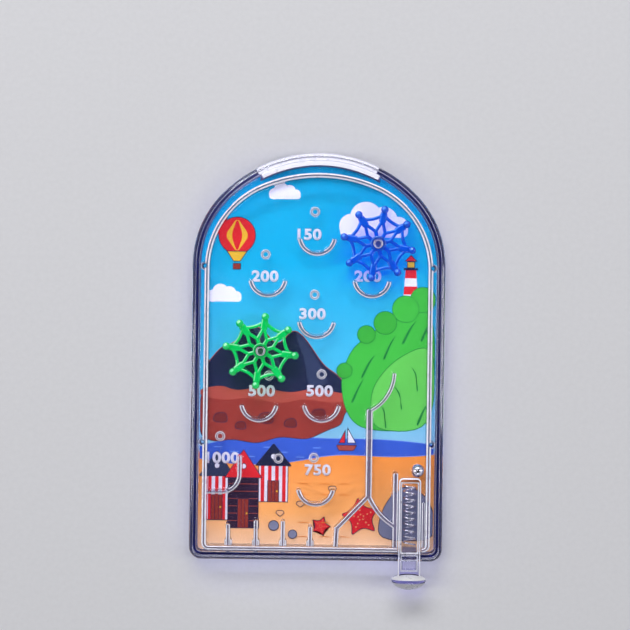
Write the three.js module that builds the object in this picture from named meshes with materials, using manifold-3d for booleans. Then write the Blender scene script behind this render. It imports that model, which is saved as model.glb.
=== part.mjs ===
// Hand-held pinball toy: a clear arched case with a printed card behind a moulded playfield,
// two loose star spinners, a steel ball in its launch lane and a sprung plunger.
// The toy lies on its back. X runs across it, Y up the playfield and Z from the back face to
// the lens. The origin is the centre of the back face. Lengths are in millimetres.
import * as THREE from "three";
import { mergeVertices } from "three/addons/utils/BufferGeometryUtils.js";
import Module from "manifold-3d";

const wasm = await Module();
wasm.setup();

// Case: an arched outline, split into a back tray and a front cover
const bodyHalfWidth = 40.25;
const bodyTop = 64.7;
const bodyBottom = -64.7;
const bodyRiseShare = 0.889;
const bodyShoulderShare = 0.907;
const bodyCornerRadius = 4;
const bodyEdgeRadius = 1.2;
const bodyWall = 2.15;
const trayFloor = 1.6;
const trayRim = 6;
const lipThickness = 1;
const lipHeight = 1.6;
const lipGap = 0.15;
const partingGap = 0.1;
const lensThickness = 1.6;

// Rib inside the crown of the tray, which keys the card and the playfield
const crownRibHalfWidth = 18.9;
const crownRibDepth = 1.45;

// Card and playfield, stacked on the tray's floor
const stackGap = 0.1;
const edgeGap = 0.25;
const cardThickness = 0.4;
const plateThickness = 1.4;
const playDepth = 7.2;

// Play area: a wall on the playfield with its own flatter arch
const sideLedge = 1.45;
const crownLedge = 3.8;
const footLedge = 0.35;
const playWall = 1.6;
const playWallHeight = 6.6;
const playRiseShare = 0.845;
const playShoulderShare = 0.952;
const playCornerRadius = 0.8;
const draft = 0.12;
const wallEdge = 0.22;

// Scoring cups: arcs open to the top, at places across and up the play area
const cupRadius = 6.3;
const cupWall = 1.35;
const cupHeight = 3.4;
const cupTurnShare = 0.422;
const cupPlaceShares = [
  [-0.02, 0.843],
  [-0.468, 0.728],
  [0.488, 0.729],
  [-0.017, 0.616],
  [-0.536, 0.387],
  [0.039, 0.388],
  [-0.005, 0.159],
];
const cornerCupPlaceShares = [-0.868, 0.191];
const cornerCupRise = 5.4;

// Pins that turn the ball: short hollow pegs
const pegRadius = 1.6;
const pegBore = 0.9;
const pegBoreDepth = 2.2;
const pegHeight = 3.2;
const pegPlaceShares = [
  [-0.042, 0.909],
  [-0.492, 0.791],
  [-0.037, 0.683],
  [0.037, 0.466],
  [-0.888, 0.294],
  [-0.351, 0.235],
  [-0.025, 0.238],
];

// Lane wall with its forked foot, deflector, and the pocket dividers
const laneWall = 1.9;
const laneWallHeight = 5.4;
const laneWallShares = { across: 0.481, top: 0.368, foot: 0.138 };
const deflectorWall = 1.1;
const deflectorTipShares = [0.704, 0.469];
const deflectorBulge = 1.95;
const forkWall = 1.45;
const forkLeftShares = [
  [0.192, 0.048],
  [0.183, -0.003],
];
const forkRightEndShare = 0.055;
const forkRightBulge = 1.1;
const dividerWall = 1.25;
const dividerFootWall = 2.3;
const dividerFootHeightShare = 0.018;
const dividerTopShares = [
  [-0.803, 0.053],
  [-0.549, 0.064],
  [-0.301, 0.063],
  [-0.05, 0.049],
];

// Star spinners on hollow axle posts
const axleRadius = 1.5;
const axleBore = 0.95;
const axleBoreDepth = 3;
const axleGap = 0.1;
const axleShoulderRadius = 2.2;
const spinnerArms = 8;
const hubRadius = 2.6;
const hubHeight = 3;
const hubFloat = 0.15;
const armThickness = 1.2;
const armLift = 0.45;
const strutWidth = 0.85;
const starShare = 0.36;
const starRootShare = 0.18;
const neckShare = 0.68;
const neckWidth = 1.9;
const neckTipWidth = 1.7;
const webWidth = 0.8;
const webThickness = 0.9;
const webShare = 0.86;
const webBulge = 0.75;
const tipRadius = 1.22;
const tipPinRadius = 0.85;
const tipPinLift = 0.9;
const spinnerWallGap = 0.9;
const bluePlaceShares = [0.539, 0.824];
const greenPlaceShares = [-0.526, 0.528];
const blueTurnShare = 0.221;
const greenTurnShare = 0.23;
const hiddenPegTurnShare = -0.197;
const hiddenPegGap = 0.3;

// Plunger: a flat frame round its spring, a shaft and a round knob
const springOuter = 4.4;
const springWire = 0.5;
const springCurls = 10;
const springStepsPerCurl = 8;
const springSides = 5;
const turnInShares = [0.6, 0.2];
const springSideGap = 0.3;
const springSeatGap = 0.3;
const frameBar = 1.05;
const headThickness = 1.7;
const headCornerRadius = 1.4;
const plungerHeadShare = 0.187;
const plungerThickness = 4.6;
const plungerChamfer = 0.35;
const plungerFloorGap = 0.25;
const slideGap = 0.3;
const stopGap = 0.15;
const shaftWeb = 1.8;
const shaftFlange = 1.2;
const knobStandoff = 4.35;
const knobRadius = 5.55;
const knobBackDepth = 1.9;
const knobFrontDepth = 3.25;
const outerGuideWall = 1;
const outerGuideShare = 0.119;
const guideRib = 1.6;
const guideRibShare = 0.196;

// Ball
const ballRadius = 2.2;
const ballWallGap = 0.2;
const ballSeatGap = 0.1;

// Locating bosses on the playfield, and the cover's pins in them
const bossRadius = 1.35;
const bossBore = 0.75;
const bossHeight = 5;
const bossPinGap = 0.15;
const bossPinDepth = 1.6;
const bossHeightShares = [0.279, 0.758];

// Cover bosses that hold the spinners down
const keeperWall = 0.6;
const keeperGap = 0.2;

// Every cutter reaches this far past the face that it opens, and points closer than the weld
// distance become one
const overrun = 1;
const weldDistance = 1e-5;

// Round stretches get enough flats to stay this close to the true curve. Turns are shares of a
// full turn, and a quarter turn leads from X to Y.
const facetGap = 0.04;
const quarter = 0.25;

const radians = (turn) => turn * 2 * Math.PI;

function stepsAlong(radius, turn) {
  const stepAngle = 2 * Math.acos(1 - facetGap / radius);
  return Math.max(2, Math.ceil(radians(Math.abs(turn)) / stepAngle));
}

function arcLine(centre, radius, from, to, steps = stepsAlong(radius, to - from)) {
  return Array.from({ length: steps + 1 }, (_, i) => {
    const angle = radians(from + ((to - from) * i) / steps);
    return new THREE.Vector2(centre.x + radius * Math.cos(angle), centre.y + radius * Math.sin(angle));
  });
}

// Heights of the stack
const cardBase = trayFloor + stackGap;
const plateBase = cardBase + cardThickness + stackGap;
const plateTop = plateBase + plateThickness;
const featureFoot = plateTop - stackGap;
const lensUnder = plateTop + playDepth;
const bodyHeight = lensUnder + lensThickness;
const lipTop = trayRim + lipHeight;

// Three-centre arch on straight sides with rounded lower corners. The rise is a share of the
// half width, and the crown radius follows from the width, the rise and the shoulder radius. The
// result gives the outline set in by a distance, always with the same number of points.
function archOutline({ halfWidth, top, bottom, riseShare, shoulderShare, cornerRadius }) {
  const rise = halfWidth * riseShare;
  const springLine = top - rise;
  const shoulderRadius = rise * shoulderShare;
  const shoulderX = halfWidth - shoulderRadius;
  const drop = (shoulderX ** 2 - (rise - shoulderRadius) ** 2) / (2 * (rise - shoulderRadius));
  const crownRadius = rise + drop;
  const lean = Math.atan2(drop, shoulderX) / (2 * Math.PI);
  const half = 2 * quarter;
  const crown = { x: 0, y: springLine - drop, r: crownRadius };
  const shoulder = { y: springLine, r: shoulderRadius };
  const corner = { y: bottom + cornerRadius, r: cornerRadius };
  const cornerX = halfWidth - cornerRadius;
  const arcs = [
    { ...corner, x: cornerX, from: -quarter, to: 0 },
    { ...shoulder, x: shoulderX, from: 0, to: lean },
    { ...crown, from: lean, to: half - lean, joined: true },
    { ...shoulder, x: -shoulderX, from: half - lean, to: half, joined: true },
    { ...corner, x: -cornerX, from: half, to: half + quarter },
  ];
  const points = (inset = 0) =>
    arcs.flatMap(({ x, y, r, from, to, joined }) => {
      const line = arcLine(new THREE.Vector2(x, y), r - inset, from, to, stepsAlong(r, to - from));
      return joined ? line.slice(1) : line;
    });
  const wallDistance = (point) =>
    Math.min(
      shoulderRadius - Math.hypot(point.x - shoulderX, point.y - springLine),
      crownRadius - Math.hypot(point.x, point.y - crown.y),
    );
  return { points, wallDistance, springLine };
}

const body = archOutline({
  halfWidth: bodyHalfWidth,
  top: bodyTop,
  bottom: bodyBottom,
  riseShare: bodyRiseShare,
  shoulderShare: bodyShoulderShare,
  cornerRadius: bodyCornerRadius,
});

// The card and the playfield's plate share one outline inside the tray's wall.
const sheetInset = bodyWall + edgeGap;
const playHalfWidth = bodyHalfWidth - sheetInset - sideLedge - playWall;
const playTop = bodyTop - sheetInset - crownLedge - playWall;
const playBottom = bodyBottom + sheetInset + footLedge + playWall;
const play = archOutline({
  halfWidth: playHalfWidth,
  top: playTop,
  bottom: playBottom,
  riseShare: playRiseShare,
  shoulderShare: playShoulderShare,
  cornerRadius: playCornerRadius,
});

const placeOf = ([across, up]) =>
  new THREE.Vector2(across * playHalfWidth, playBottom + up * (playTop - playBottom));

// Spinner size: the blue one reaches to a named gap from the play wall
const blueCentre = placeOf(bluePlaceShares);
const greenCentre = placeOf(greenPlaceShares);
const tipCircle = play.wallDistance(blueCentre) - spinnerWallGap - tipRadius;
const axleShoulderTop = plateTop + cupHeight - armLift;
const hubBase = axleShoulderTop + hubFloat;
const hubTop = hubBase + hubHeight;
const armBase = hubBase + armLift;
const tipPinBase = plateTop + tipPinLift;

// Plunger places, worked out from its spring and the right-hand play wall
const windowHalfWidth = springOuter / 2 + springSideGap;
const plungerHalfWidth = windowHalfWidth + frameBar;
const plungerX = playHalfWidth - outerGuideWall - slideGap - plungerHalfWidth;
const plungerZ = plateTop + plungerFloorGap + plungerThickness / 2;
const plungerTop = placeOf([0, plungerHeadShare]).y;
const windowTop = plungerTop - headThickness;
const stopBottom = playBottom - playWall;
const windowBottom = stopBottom - stopGap;
const shaftEnd = bodyBottom - knobStandoff;
const slotHalfWidth = plungerHalfWidth + slideGap;
const slotTop = plungerZ + plungerThickness / 2 + slideGap;
const guideRibX = plungerX - plungerHalfWidth - slideGap - guideRib / 2;

// Solids: three.js geometry goes into manifold-3d for joins and cuts, and back
function solidFrom(geometry) {
  const bare = geometry.index ? geometry.toNonIndexed() : geometry.clone();
  bare.deleteAttribute("normal");
  bare.deleteAttribute("uv");
  const merged = mergeVertices(bare, weldDistance);
  return new wasm.Manifold(
    new wasm.Mesh({
      numProp: 3,
      vertProperties: merged.attributes.position.array,
      triVerts: new Uint32Array(merged.index.array),
    }),
  );
}

function geometryFrom(solid) {
  const mesh = solid.getMesh();
  const geometry = new THREE.BufferGeometry();
  geometry.setAttribute("position", new THREE.BufferAttribute(mesh.vertProperties, 3));
  geometry.setIndex(new THREE.BufferAttribute(mesh.triVerts, 1));
  geometry.computeVertexNormals();
  return geometry;
}

const join = (solids) => solids.reduce((whole, next) => whole.add(next));
const cutAll = (solid, cutters) => cutters.reduce((rest, cutter) => rest.subtract(cutter), solid);

// A closed skin over outlines of one point count, each at its own height
function loft(rings) {
  const count = rings[0].outline.length;
  const positions = rings.flatMap(({ outline, z }) => outline.flatMap((p) => [p.x, p.y, z]));
  const faces = [];
  for (let layer = 0; layer + 1 < rings.length; layer++) {
    for (let i = 0; i < count; i++) {
      const next = (i + 1) % count;
      const low = layer * count;
      const high = low + count;
      faces.push(low + i, low + next, high + next, low + i, high + next, high + i);
    }
  }
  const last = (rings.length - 1) * count;
  for (const [a, b, c] of THREE.ShapeUtils.triangulateShape(rings[0].outline, [])) faces.push(c, b, a);
  for (const [a, b, c] of THREE.ShapeUtils.triangulateShape(rings.at(-1).outline, [])) {
    faces.push(last + a, last + b, last + c);
  }
  const geometry = new THREE.BufferGeometry();
  geometry.setAttribute("position", new THREE.Float32BufferAttribute(positions, 3));
  geometry.setIndex(faces);
  return solidFrom(geometry);
}

const prism = (outline, base, top) => loft([{ outline, z: base }, { outline, z: top }]);

function block(left, right, front, back, base, top) {
  const geometry = new THREE.BoxGeometry(right - left, back - front, top - base);
  return solidFrom(geometry.translate((left + right) / 2, (front + back) / 2, (base + top) / 2));
}

function post(centre, baseRadius, topRadius, base, top) {
  const sides = stepsAlong(baseRadius, 1);
  const geometry = new THREE.CylinderGeometry(topRadius, baseRadius, top - base, sides);
  geometry.rotateX(Math.PI / 2);
  return solidFrom(geometry.translate(centre.x, centre.y, (base + top) / 2));
}

// The outline of a wall of even width with round ends along a line of points
function trackOutline(line, halfWidth, flare = 0) {
  const capSteps = stepsAlong(halfWidth, 2 * quarter) + 1;
  const reach = halfWidth + flare;
  const along = (i, j) => line[j].clone().sub(line[i]).normalize();
  const last = line.length - 1;
  const tangents = line.map((_, i) => along(Math.max(i - 1, 0), Math.min(i + 1, last)));
  const side = (i, sign) =>
    line[i].clone().add(new THREE.Vector2(tangents[i].y, -tangents[i].x).multiplyScalar(sign * reach));
  const cap = (i, start) =>
    Array.from({ length: capSteps - 1 }, (_, k) => {
      const angle = start + (Math.PI * (k + 1)) / capSteps;
      return line[i].clone().add(new THREE.Vector2(Math.cos(angle), Math.sin(angle)).multiplyScalar(reach));
    });
  return [
    ...line.map((_, i) => side(i, 1)),
    ...cap(last, tangents[last].angle() - Math.PI / 2),
    ...line.map((_, i) => side(last - i, -1)),
    ...cap(0, tangents[0].angle() + Math.PI / 2),
  ];
}

// A moulded wall: its foot is wider than its top by the draft on each side, and the top's edges
// are taken off
function mouldedWall(line, thickness, height) {
  return loft([
    { outline: trackOutline(line, thickness / 2, draft), z: featureFoot },
    { outline: trackOutline(line, thickness / 2), z: plateTop + height - wallEdge },
    { outline: trackOutline(line, thickness / 2, -wallEdge), z: plateTop + height },
  ]);
}

// An arc from one point to another that stands out to the right of the straight line by bulge
function bulgedLine(start, end, bulge) {
  const half = start.distanceTo(end) / 2;
  const radius = (half ** 2 + bulge ** 2) / (2 * bulge);
  const middle = start.clone().lerp(end, 0.5);
  const forward = end.clone().sub(start).normalize();
  const right = new THREE.Vector2(forward.y, -forward.x);
  const centre = middle.addScaledVector(right, bulge - radius);
  const spread = Math.asin(half / radius);
  const steps = stepsAlong(radius, spread / Math.PI);
  return Array.from({ length: steps + 1 }, (_, i) => {
    const angle = spread * ((2 * i) / steps - 1);
    return centre
      .clone()
      .addScaledVector(right, radius * Math.cos(angle))
      .addScaledVector(forward, radius * Math.sin(angle));
  });
}

// The part of the case's crown between two insets, as wide as the rib
function crownBand(outerInset, innerInset, halfWidth, base, top) {
  const ring = prism(body.points(outerInset), base, top).subtract(
    prism(body.points(innerInset), base - overrun, top + overrun),
  );
  return ring.intersect(block(-halfWidth, halfWidth, body.springLine, bodyTop, base, top));
}

// Where the plunger passes the case's lower wall
function shaftSlot() {
  const outside = bodyBottom - overrun;
  const inside = bodyBottom + bodyWall + overrun;
  return block(plungerX - slotHalfWidth, plungerX + slotHalfWidth, outside, inside, plateTop, slotTop);
}

// The case's rounded edge, from a flat face to the upright wall
function roundedEdge(face, direction) {
  const arc = arcLine(new THREE.Vector2(), bodyEdgeRadius, 0, quarter);
  return arc.map(({ x, y }) => ({
    outline: body.points(bodyEdgeRadius - y),
    z: face + direction * (bodyEdgeRadius - x),
  }));
}

function backTray() {
  const shell = loft([...roundedEdge(0, 1), { outline: body.points(), z: trayRim }]);
  const lip = prism(body.points(bodyWall - lipThickness), trayFloor, lipTop);
  const hollow = prism(body.points(bodyWall), trayFloor, lipTop + overrun);
  const ribBack = bodyWall - lipThickness / 2;
  const ribFace = bodyWall + crownRibDepth;
  const rib = crownBand(ribBack, ribFace, crownRibHalfWidth, trayFloor / 2, lipTop);
  return shell.add(lip).subtract(hollow).add(rib).subtract(shaftSlot());
}

function keyedSheet(base, top) {
  const sheet = prism(body.points(sheetInset), base, top);
  const notchInset = bodyWall + crownRibDepth + edgeGap;
  const notch = crownBand(0, notchInset, crownRibHalfWidth + edgeGap, base - overrun, top + overrun);
  return sheet.subtract(notch);
}

const pictureCard = () => keyedSheet(cardBase, cardBase + cardThickness);

function scoringCup(centre) {
  const half = cupTurnShare / 2;
  const bowl = arcLine(centre, cupRadius - cupWall / 2, -quarter - half, half - quarter);
  return mouldedWall(bowl, cupWall, cupHeight);
}

// The corner cup hangs from the left play wall and turns up at its free end
function cornerCup() {
  const centre = placeOf(cornerCupPlaceShares);
  const radius = cupRadius - cupWall / 2;
  const bowl = arcLine(centre, radius, -quarter, 0);
  const wallEnd = new THREE.Vector2(-playHalfWidth, bowl[0].y);
  const tip = new THREE.Vector2(bowl.at(-1).x, bowl.at(-1).y + cornerCupRise);
  return mouldedWall([wallEnd, ...bowl, tip], cupWall, cupHeight);
}

function hollowPeg(centre) {
  const top = plateTop + pegHeight;
  const peg = post(centre, pegRadius, pegRadius - draft, featureFoot, top);
  return peg.subtract(post(centre, pegBore, pegBore, top - pegBoreDepth, top + overrun));
}

function axlePost(centre) {
  const top = hubTop + axleGap;
  const shoulder = post(centre, axleShoulderRadius, axleShoulderRadius, featureFoot, axleShoulderTop);
  const spindle = post(centre, axleRadius, axleRadius, plateTop, top);
  const hollow = post(centre, axleBore, axleBore, top - axleBoreDepth, top + overrun);
  return shoulder.add(spindle).subtract(hollow);
}

const bossPlaces = bossHeightShares.flatMap((up) =>
  [-1, 1].map((sideways) => new THREE.Vector2(sideways * (playHalfWidth + playWall), placeOf([0, up]).y)),
);

function playWallRing() {
  const top = plateTop + playWallHeight;
  const outside = prism(play.points(-playWall), featureFoot, top);
  const slope = draft / playWallHeight;
  const inside = loft([
    { outline: play.points(), z: plateTop },
    { outline: play.points(-draft - slope * overrun), z: top + overrun },
  ]);
  return outside.subtract(inside);
}

// Dividers stand on the lower play wall and widen at the foot
function pocketDivider(topPlace) {
  const foot = new THREE.Vector2(topPlace.x, playBottom - playWall / 2);
  const footTop = foot.clone();
  footTop.y = placeOf([0, dividerFootHeightShare]).y - dividerFootWall / 2;
  const fillet = mouldedWall([foot, footTop], dividerFootWall, cupHeight);
  return mouldedWall([foot, topPlace], dividerWall, laneWallHeight).add(fillet);
}

function laneWalls() {
  const top = placeOf([laneWallShares.across, laneWallShares.top]);
  const foot = placeOf([laneWallShares.across, laneWallShares.foot]);
  const knee = placeOf(forkLeftShares[0]);
  const kneeFoot = placeOf(forkLeftShares[1]);
  const rightEnd = new THREE.Vector2(guideRibX, placeOf([0, forkRightEndShare]).y);
  const deflector = bulgedLine(top, placeOf(deflectorTipShares), deflectorBulge);
  return join([
    mouldedWall([foot, top], laneWall, laneWallHeight),
    mouldedWall(deflector, deflectorWall, laneWallHeight),
    mouldedWall([foot, knee], forkWall, laneWallHeight),
    mouldedWall([knee, kneeFoot], forkWall, laneWallHeight),
    mouldedWall(bulgedLine(foot, rightEnd, forkRightBulge), forkWall, laneWallHeight),
  ]);
}

function plungerGuides() {
  const below = playBottom - playWall / 2;
  const ribTop = new THREE.Vector2(guideRibX, placeOf([0, guideRibShare]).y);
  const outerX = playHalfWidth - outerGuideWall / 2;
  const outerTop = placeOf([0, outerGuideShare]).y;
  const stop = block(
    plungerX - windowHalfWidth + slideGap,
    plungerX + windowHalfWidth - slideGap,
    stopBottom,
    playBottom,
    featureFoot,
    plungerZ + plungerThickness / 2,
  );
  const straight = (from, to, width) =>
    prism(trackOutline([from, to], width / 2), featureFoot, plateTop + laneWallHeight);
  return {
    ribs: [
      straight(new THREE.Vector2(guideRibX, below), ribTop, guideRib),
      straight(new THREE.Vector2(outerX, below), new THREE.Vector2(outerX, outerTop), outerGuideWall),
    ],
    stop,
  };
}

function playfieldPlate() {
  const guides = plungerGuides();
  const hiddenPegReach = tipCircle - tipPinRadius - pegRadius - hiddenPegGap;
  const [hiddenPeg] = arcLine(greenCentre, hiddenPegReach, hiddenPegTurnShare, 1);
  const raised = join([
    playWallRing(),
    ...cupPlaceShares.map((shares) => scoringCup(placeOf(shares))),
    cornerCup(),
    ...dividerTopShares.map((shares) => pocketDivider(placeOf(shares))),
    laneWalls(),
    ...guides.ribs,
    axlePost(blueCentre),
    axlePost(greenCentre),
    ...[...pegPlaceShares.map(placeOf), hiddenPeg].map(hollowPeg),
    ...bossPlaces.map((centre) => post(centre, bossRadius, bossRadius, featureFoot, plateTop + bossHeight)),
  ]);
  const openings = [
    block(
      plungerX - slotHalfWidth,
      plungerX + slotHalfWidth,
      bodyBottom,
      playBottom + overrun,
      plateTop,
      lensUnder,
    ),
    ...bossPlaces.map((centre) => post(centre, bossBore, bossBore, plateTop + overrun, lensUnder)),
  ];
  return cutAll(raised, openings).add(guides.stop).add(keyedSheet(plateBase, plateTop));
}

function frontCover() {
  const base = trayRim + partingGap;
  const shell = loft([{ outline: body.points(), z: base }, ...roundedEdge(bodyHeight, -1).reverse()]);
  const hollow = prism(body.points(bodyWall), base - overrun, lensUnder);
  const rebate = prism(body.points(bodyWall - lipThickness - lipGap), base - overrun, lipTop + lipGap);
  const keepers = [blueCentre, greenCentre].map((centre) => {
    const boreRadius = axleRadius + axleGap;
    const foot = hubTop + keeperGap;
    const rim = boreRadius + keeperWall;
    const sleeve = post(centre, rim, rim, foot, lensUnder + lensThickness / 2);
    return sleeve.subtract(post(centre, boreRadius, boreRadius, foot - overrun, lensUnder));
  });
  const pinRadius = bossBore - bossPinGap;
  const pinFoot = plateTop + bossHeight - bossPinDepth;
  const pins = bossPlaces.map((centre) =>
    post(centre, pinRadius, pinRadius, pinFoot, lensUnder + lensThickness / 2),
  );
  return join([shell.subtract(hollow).subtract(rebate).subtract(shaftSlot()), ...keepers, ...pins]);
}

// The plunger is built round its own axis, at the height of its middle
function headOutline(front, back, inset) {
  const edge = plungerHalfWidth - inset;
  const corner = (sideways, from) => {
    const centre = new THREE.Vector2(sideways * (edge - headCornerRadius), back - inset - headCornerRadius);
    return arcLine(centre, headCornerRadius, from, from + quarter);
  };
  const foot = [new THREE.Vector2(-edge, front), new THREE.Vector2(edge, front)];
  return [...foot, ...corner(1, 0), ...corner(-1, quarter)];
}

// Half an ellipse turned about the plunger's axis: deep in front, shallow towards the shaft
function plungerKnob() {
  const middle = shaftEnd - knobBackDepth;
  const steps = stepsAlong(knobRadius, 2 * quarter);
  const profile = Array.from({ length: steps + 1 }, (_, i) => {
    const angle = Math.PI * (i / steps) - Math.PI / 2;
    const onAxis = i === 0 || i === steps;
    const depth = angle < 0 ? knobFrontDepth : knobBackDepth;
    return new THREE.Vector2(onAxis ? 0 : knobRadius * Math.cos(angle), middle + depth * Math.sin(angle));
  });
  return solidFrom(new THREE.LatheGeometry(profile, stepsAlong(knobRadius, 1)));
}

function plungerSolid() {
  const half = plungerThickness / 2;
  const front = shaftEnd - knobBackDepth;
  const section = (inset) => headOutline(front, plungerTop, inset);
  const bar = loft([
    { outline: section(plungerChamfer), z: -half },
    { outline: section(0), z: plungerChamfer - half },
    { outline: section(0), z: half - plungerChamfer },
    { outline: section(plungerChamfer), z: half },
  ]);
  const past = half + overrun;
  const window = block(-windowHalfWidth, windowHalfWidth, windowBottom, windowTop, -past, past);
  const recessHalf = plungerHalfWidth - shaftFlange;
  const recess = (base, top) =>
    block(-recessHalf, recessHalf, shaftEnd + shaftFlange, windowBottom - shaftFlange, base, top);
  return cutAll(bar, [
    window,
    recess(shaftWeb / 2, past),
    recess(-past, -shaftWeb / 2),
  ]).add(plungerKnob());
}

// The spring: one wire with round curls, whose ends turn into short straight tails
function wireLine() {
  const radius = (springOuter - springWire) / 2;
  const tail = springWire;
  const turnIn = springWire;
  const start = playBottom + springSeatGap;
  const end = windowTop - springSeatGap;
  const low = start + tail + turnIn;
  const high = end - tail - turnIn;
  const points = [];
  const put = (angle, y) => {
    points.push(new THREE.Vector3(radius * Math.cos(angle), y, radius * Math.sin(angle)));
  };
  const bend = turnIn / radius;
  put(-bend, start);
  put(-bend, start + tail);
  for (const share of turnInShares) put(-bend * share, low - turnIn * share);
  const steps = springStepsPerCurl * springCurls;
  for (let i = 1; i < steps; i++) {
    put(radians(i / springStepsPerCurl), low + ((high - low) * i) / steps);
  }
  const finish = radians(springCurls);
  for (const share of turnInShares.toReversed()) put(finish + bend * share, high + turnIn * share);
  put(finish + bend, end - tail);
  put(finish + bend, end);
  return points;
}

// The least clear distance between lengths of wire that lie more than half a curl apart
function leastSelfGap(points) {
  const halfCurl = springStepsPerCurl / 2;
  let least = Infinity;
  for (let i = 0; i < points.length; i++) {
    for (let j = i + halfCurl + 1; j < points.length; j++) {
      least = Math.min(least, points[i].distanceTo(points[j]));
    }
  }
  return least - springWire;
}

function springSolid() {
  const line = wireLine();
  const last = line.length - 1;
  const positions = [];
  const faces = [];
  line.forEach((point, i) => {
    const tangent = line[Math.min(i + 1, last)].clone().sub(line[Math.max(i - 1, 0)]).normalize();
    const outward = new THREE.Vector3(point.x, 0, point.z).normalize();
    const across = new THREE.Vector3().crossVectors(tangent, outward).normalize();
    const lift = new THREE.Vector3().crossVectors(across, tangent);
    for (let k = 0; k < springSides; k++) {
      const angle = radians(k / springSides);
      const spoke = lift.clone().multiplyScalar(Math.cos(angle)).addScaledVector(across, Math.sin(angle));
      positions.push(...point.clone().addScaledVector(spoke, springWire / 2).toArray());
    }
  });
  for (let i = 0; i < last; i++) {
    for (let k = 0; k < springSides; k++) {
      const next = (k + 1) % springSides;
      const here = i * springSides;
      const there = here + springSides;
      faces.push(here + k, here + next, there + next, here + k, there + next, there + k);
    }
  }
  const end = last * springSides;
  for (let k = 1; k + 1 < springSides; k++) {
    faces.push(0, k + 1, k);
    faces.push(end, end + k, end + k + 1);
  }
  const geometry = new THREE.BufferGeometry();
  geometry.setAttribute("position", new THREE.Float32BufferAttribute(positions, 3));
  geometry.setIndex(faces);
  console.log("least gap between the spring's curls: " + leastSelfGap(line).toFixed(2) + " mm");
  return solidFrom(geometry);
}

// The spinner, built round its own axis with its first arm along X. Short spokes carry a star of
// struts that zigzags from points between the arms to the arms' necks. Each neck ends in a ball
// over a hanging pin, and hollow-curved webs tie the necks together.
function spinnerSolid() {
  const armTop = armBase + armThickness;
  const webBase = armBase + (armThickness - webThickness) / 2;
  const pitch = 1 / spinnerArms;
  const origin = new THREE.Vector2();
  const at = (share, turn) => arcLine(origin, tipCircle * share, turn, turn, 1)[0];
  const strip = (line, width, base, top) => prism(trackOutline(line, width / 2), base, top);
  const bar = (line, width) => strip(line, width, armBase, armTop);
  const ballSteps = [stepsAlong(tipRadius, 1), stepsAlong(tipRadius, 2 * quarter)];
  const arms = [];
  for (let arm = 0; arm < spinnerArms; arm++) {
    const turn = arm * pitch;
    const neck = at(neckShare, turn);
    const neckEnd = at(webShare, turn);
    const tip = at(1, turn);
    const before = at(starShare, turn - pitch / 2);
    const after = at(starShare, turn + pitch / 2);
    const web = bulgedLine(at(webShare, turn + pitch), neckEnd, webBulge);
    const ball = new THREE.SphereGeometry(tipRadius, ...ballSteps);
    ball.rotateX(Math.PI / 2).translate(tip.x, tip.y, armTop);
    arms.push(
      bar([before, neck], strutWidth),
      bar([after, neck], strutWidth),
      bar([at(starRootShare, turn + pitch / 2), after], strutWidth),
      bar([neck, neckEnd], neckWidth),
      bar([neck, tip], neckTipWidth),
      strip(web, webWidth, webBase, webBase + webThickness),
      post(tip, tipPinRadius - draft, tipPinRadius, tipPinBase, armTop),
      solidFrom(ball),
    );
  }
  const hub = post(origin, hubRadius, hubRadius - draft, hubBase, hubTop);
  const boreRadius = axleRadius + axleGap;
  const bore = post(origin, boreRadius, boreRadius, hubBase - overrun, hubTop + overrun);
  return join([hub, ...arms]).subtract(bore);
}

// Finishes
const plastic = (color, opacity) =>
  new THREE.MeshStandardMaterial({ color, roughness: 0.08, transparent: true, opacity });
const clearPlastic = plastic(0xd9dcf5, 0.3);
const bluePlastic = plastic(0x0a5cf0, 0.85);
const greenPlastic = plastic(0x12e060, 0.9);
const printedCard = new THREE.MeshStandardMaterial({ color: 0x12bdf0, roughness: 0.5 });
const steel = new THREE.MeshStandardMaterial({ color: 0xc9cbd2, roughness: 0.15, metalness: 1 });

function piece(name, geometry, material, place = new THREE.Vector3()) {
  const mesh = new THREE.Mesh(geometry, material);
  mesh.name = name;
  mesh.position.copy(place);
  return mesh;
}

function spinner(name, centre, turnShare, material) {
  const place = new THREE.Vector3(centre.x, centre.y, 0);
  const mesh = piece(name, geometryFrom(spinnerSolid()), material, place);
  mesh.rotation.z = radians(turnShare);
  return mesh;
}

const housing = new THREE.Group();
housing.add(
  piece("back_tray", geometryFrom(backTray()), clearPlastic),
  piece("picture_card", geometryFrom(pictureCard()), printedCard),
  piece("playfield_plate", geometryFrom(playfieldPlate()), clearPlastic),
  piece("front_cover", geometryFrom(frontCover()), clearPlastic),
);

const launcher = new THREE.Group();
launcher.position.set(plungerX, 0, plungerZ);
launcher.add(
  piece("plunger", geometryFrom(plungerSolid()), clearPlastic),
  piece("plunger_spring", geometryFrom(springSolid()), steel),
);

const ballPlace = new THREE.Vector3(
  playHalfWidth - ballRadius - ballWallGap,
  plungerTop + ballSeatGap + ballRadius,
  plateTop + ballSeatGap + ballRadius,
);

const ballGeometry = () =>
  new THREE.SphereGeometry(ballRadius, stepsAlong(ballRadius, 1), stepsAlong(ballRadius, 2 * quarter));

const toy = new THREE.Group();
toy.add(
  housing,
  launcher,
  piece("steel_ball", ballGeometry(), steel, ballPlace),
  spinner("blue_spinner", blueCentre, blueTurnShare, bluePlastic),
  spinner("green_spinner", greenCentre, greenTurnShare, greenPlastic),
);

export default toy;
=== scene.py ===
# %% [markdown]
# # A pocket pinball toy in clear plastic
# The toy is a flat arched box of clear polystyrene. A printed card lies under a moulded
# playfield, two star spinners turn on posts, and a sprung plunger shoots a steel ball. The
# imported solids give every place, so this script only dresses them: it never moves them.

# %% Load the solids
from collections import namedtuple
from math import asin, atan2, cos, pi, radians, sin, sqrt, tau

import bmesh
import bpy
from mathutils import Matrix, Vector


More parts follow.
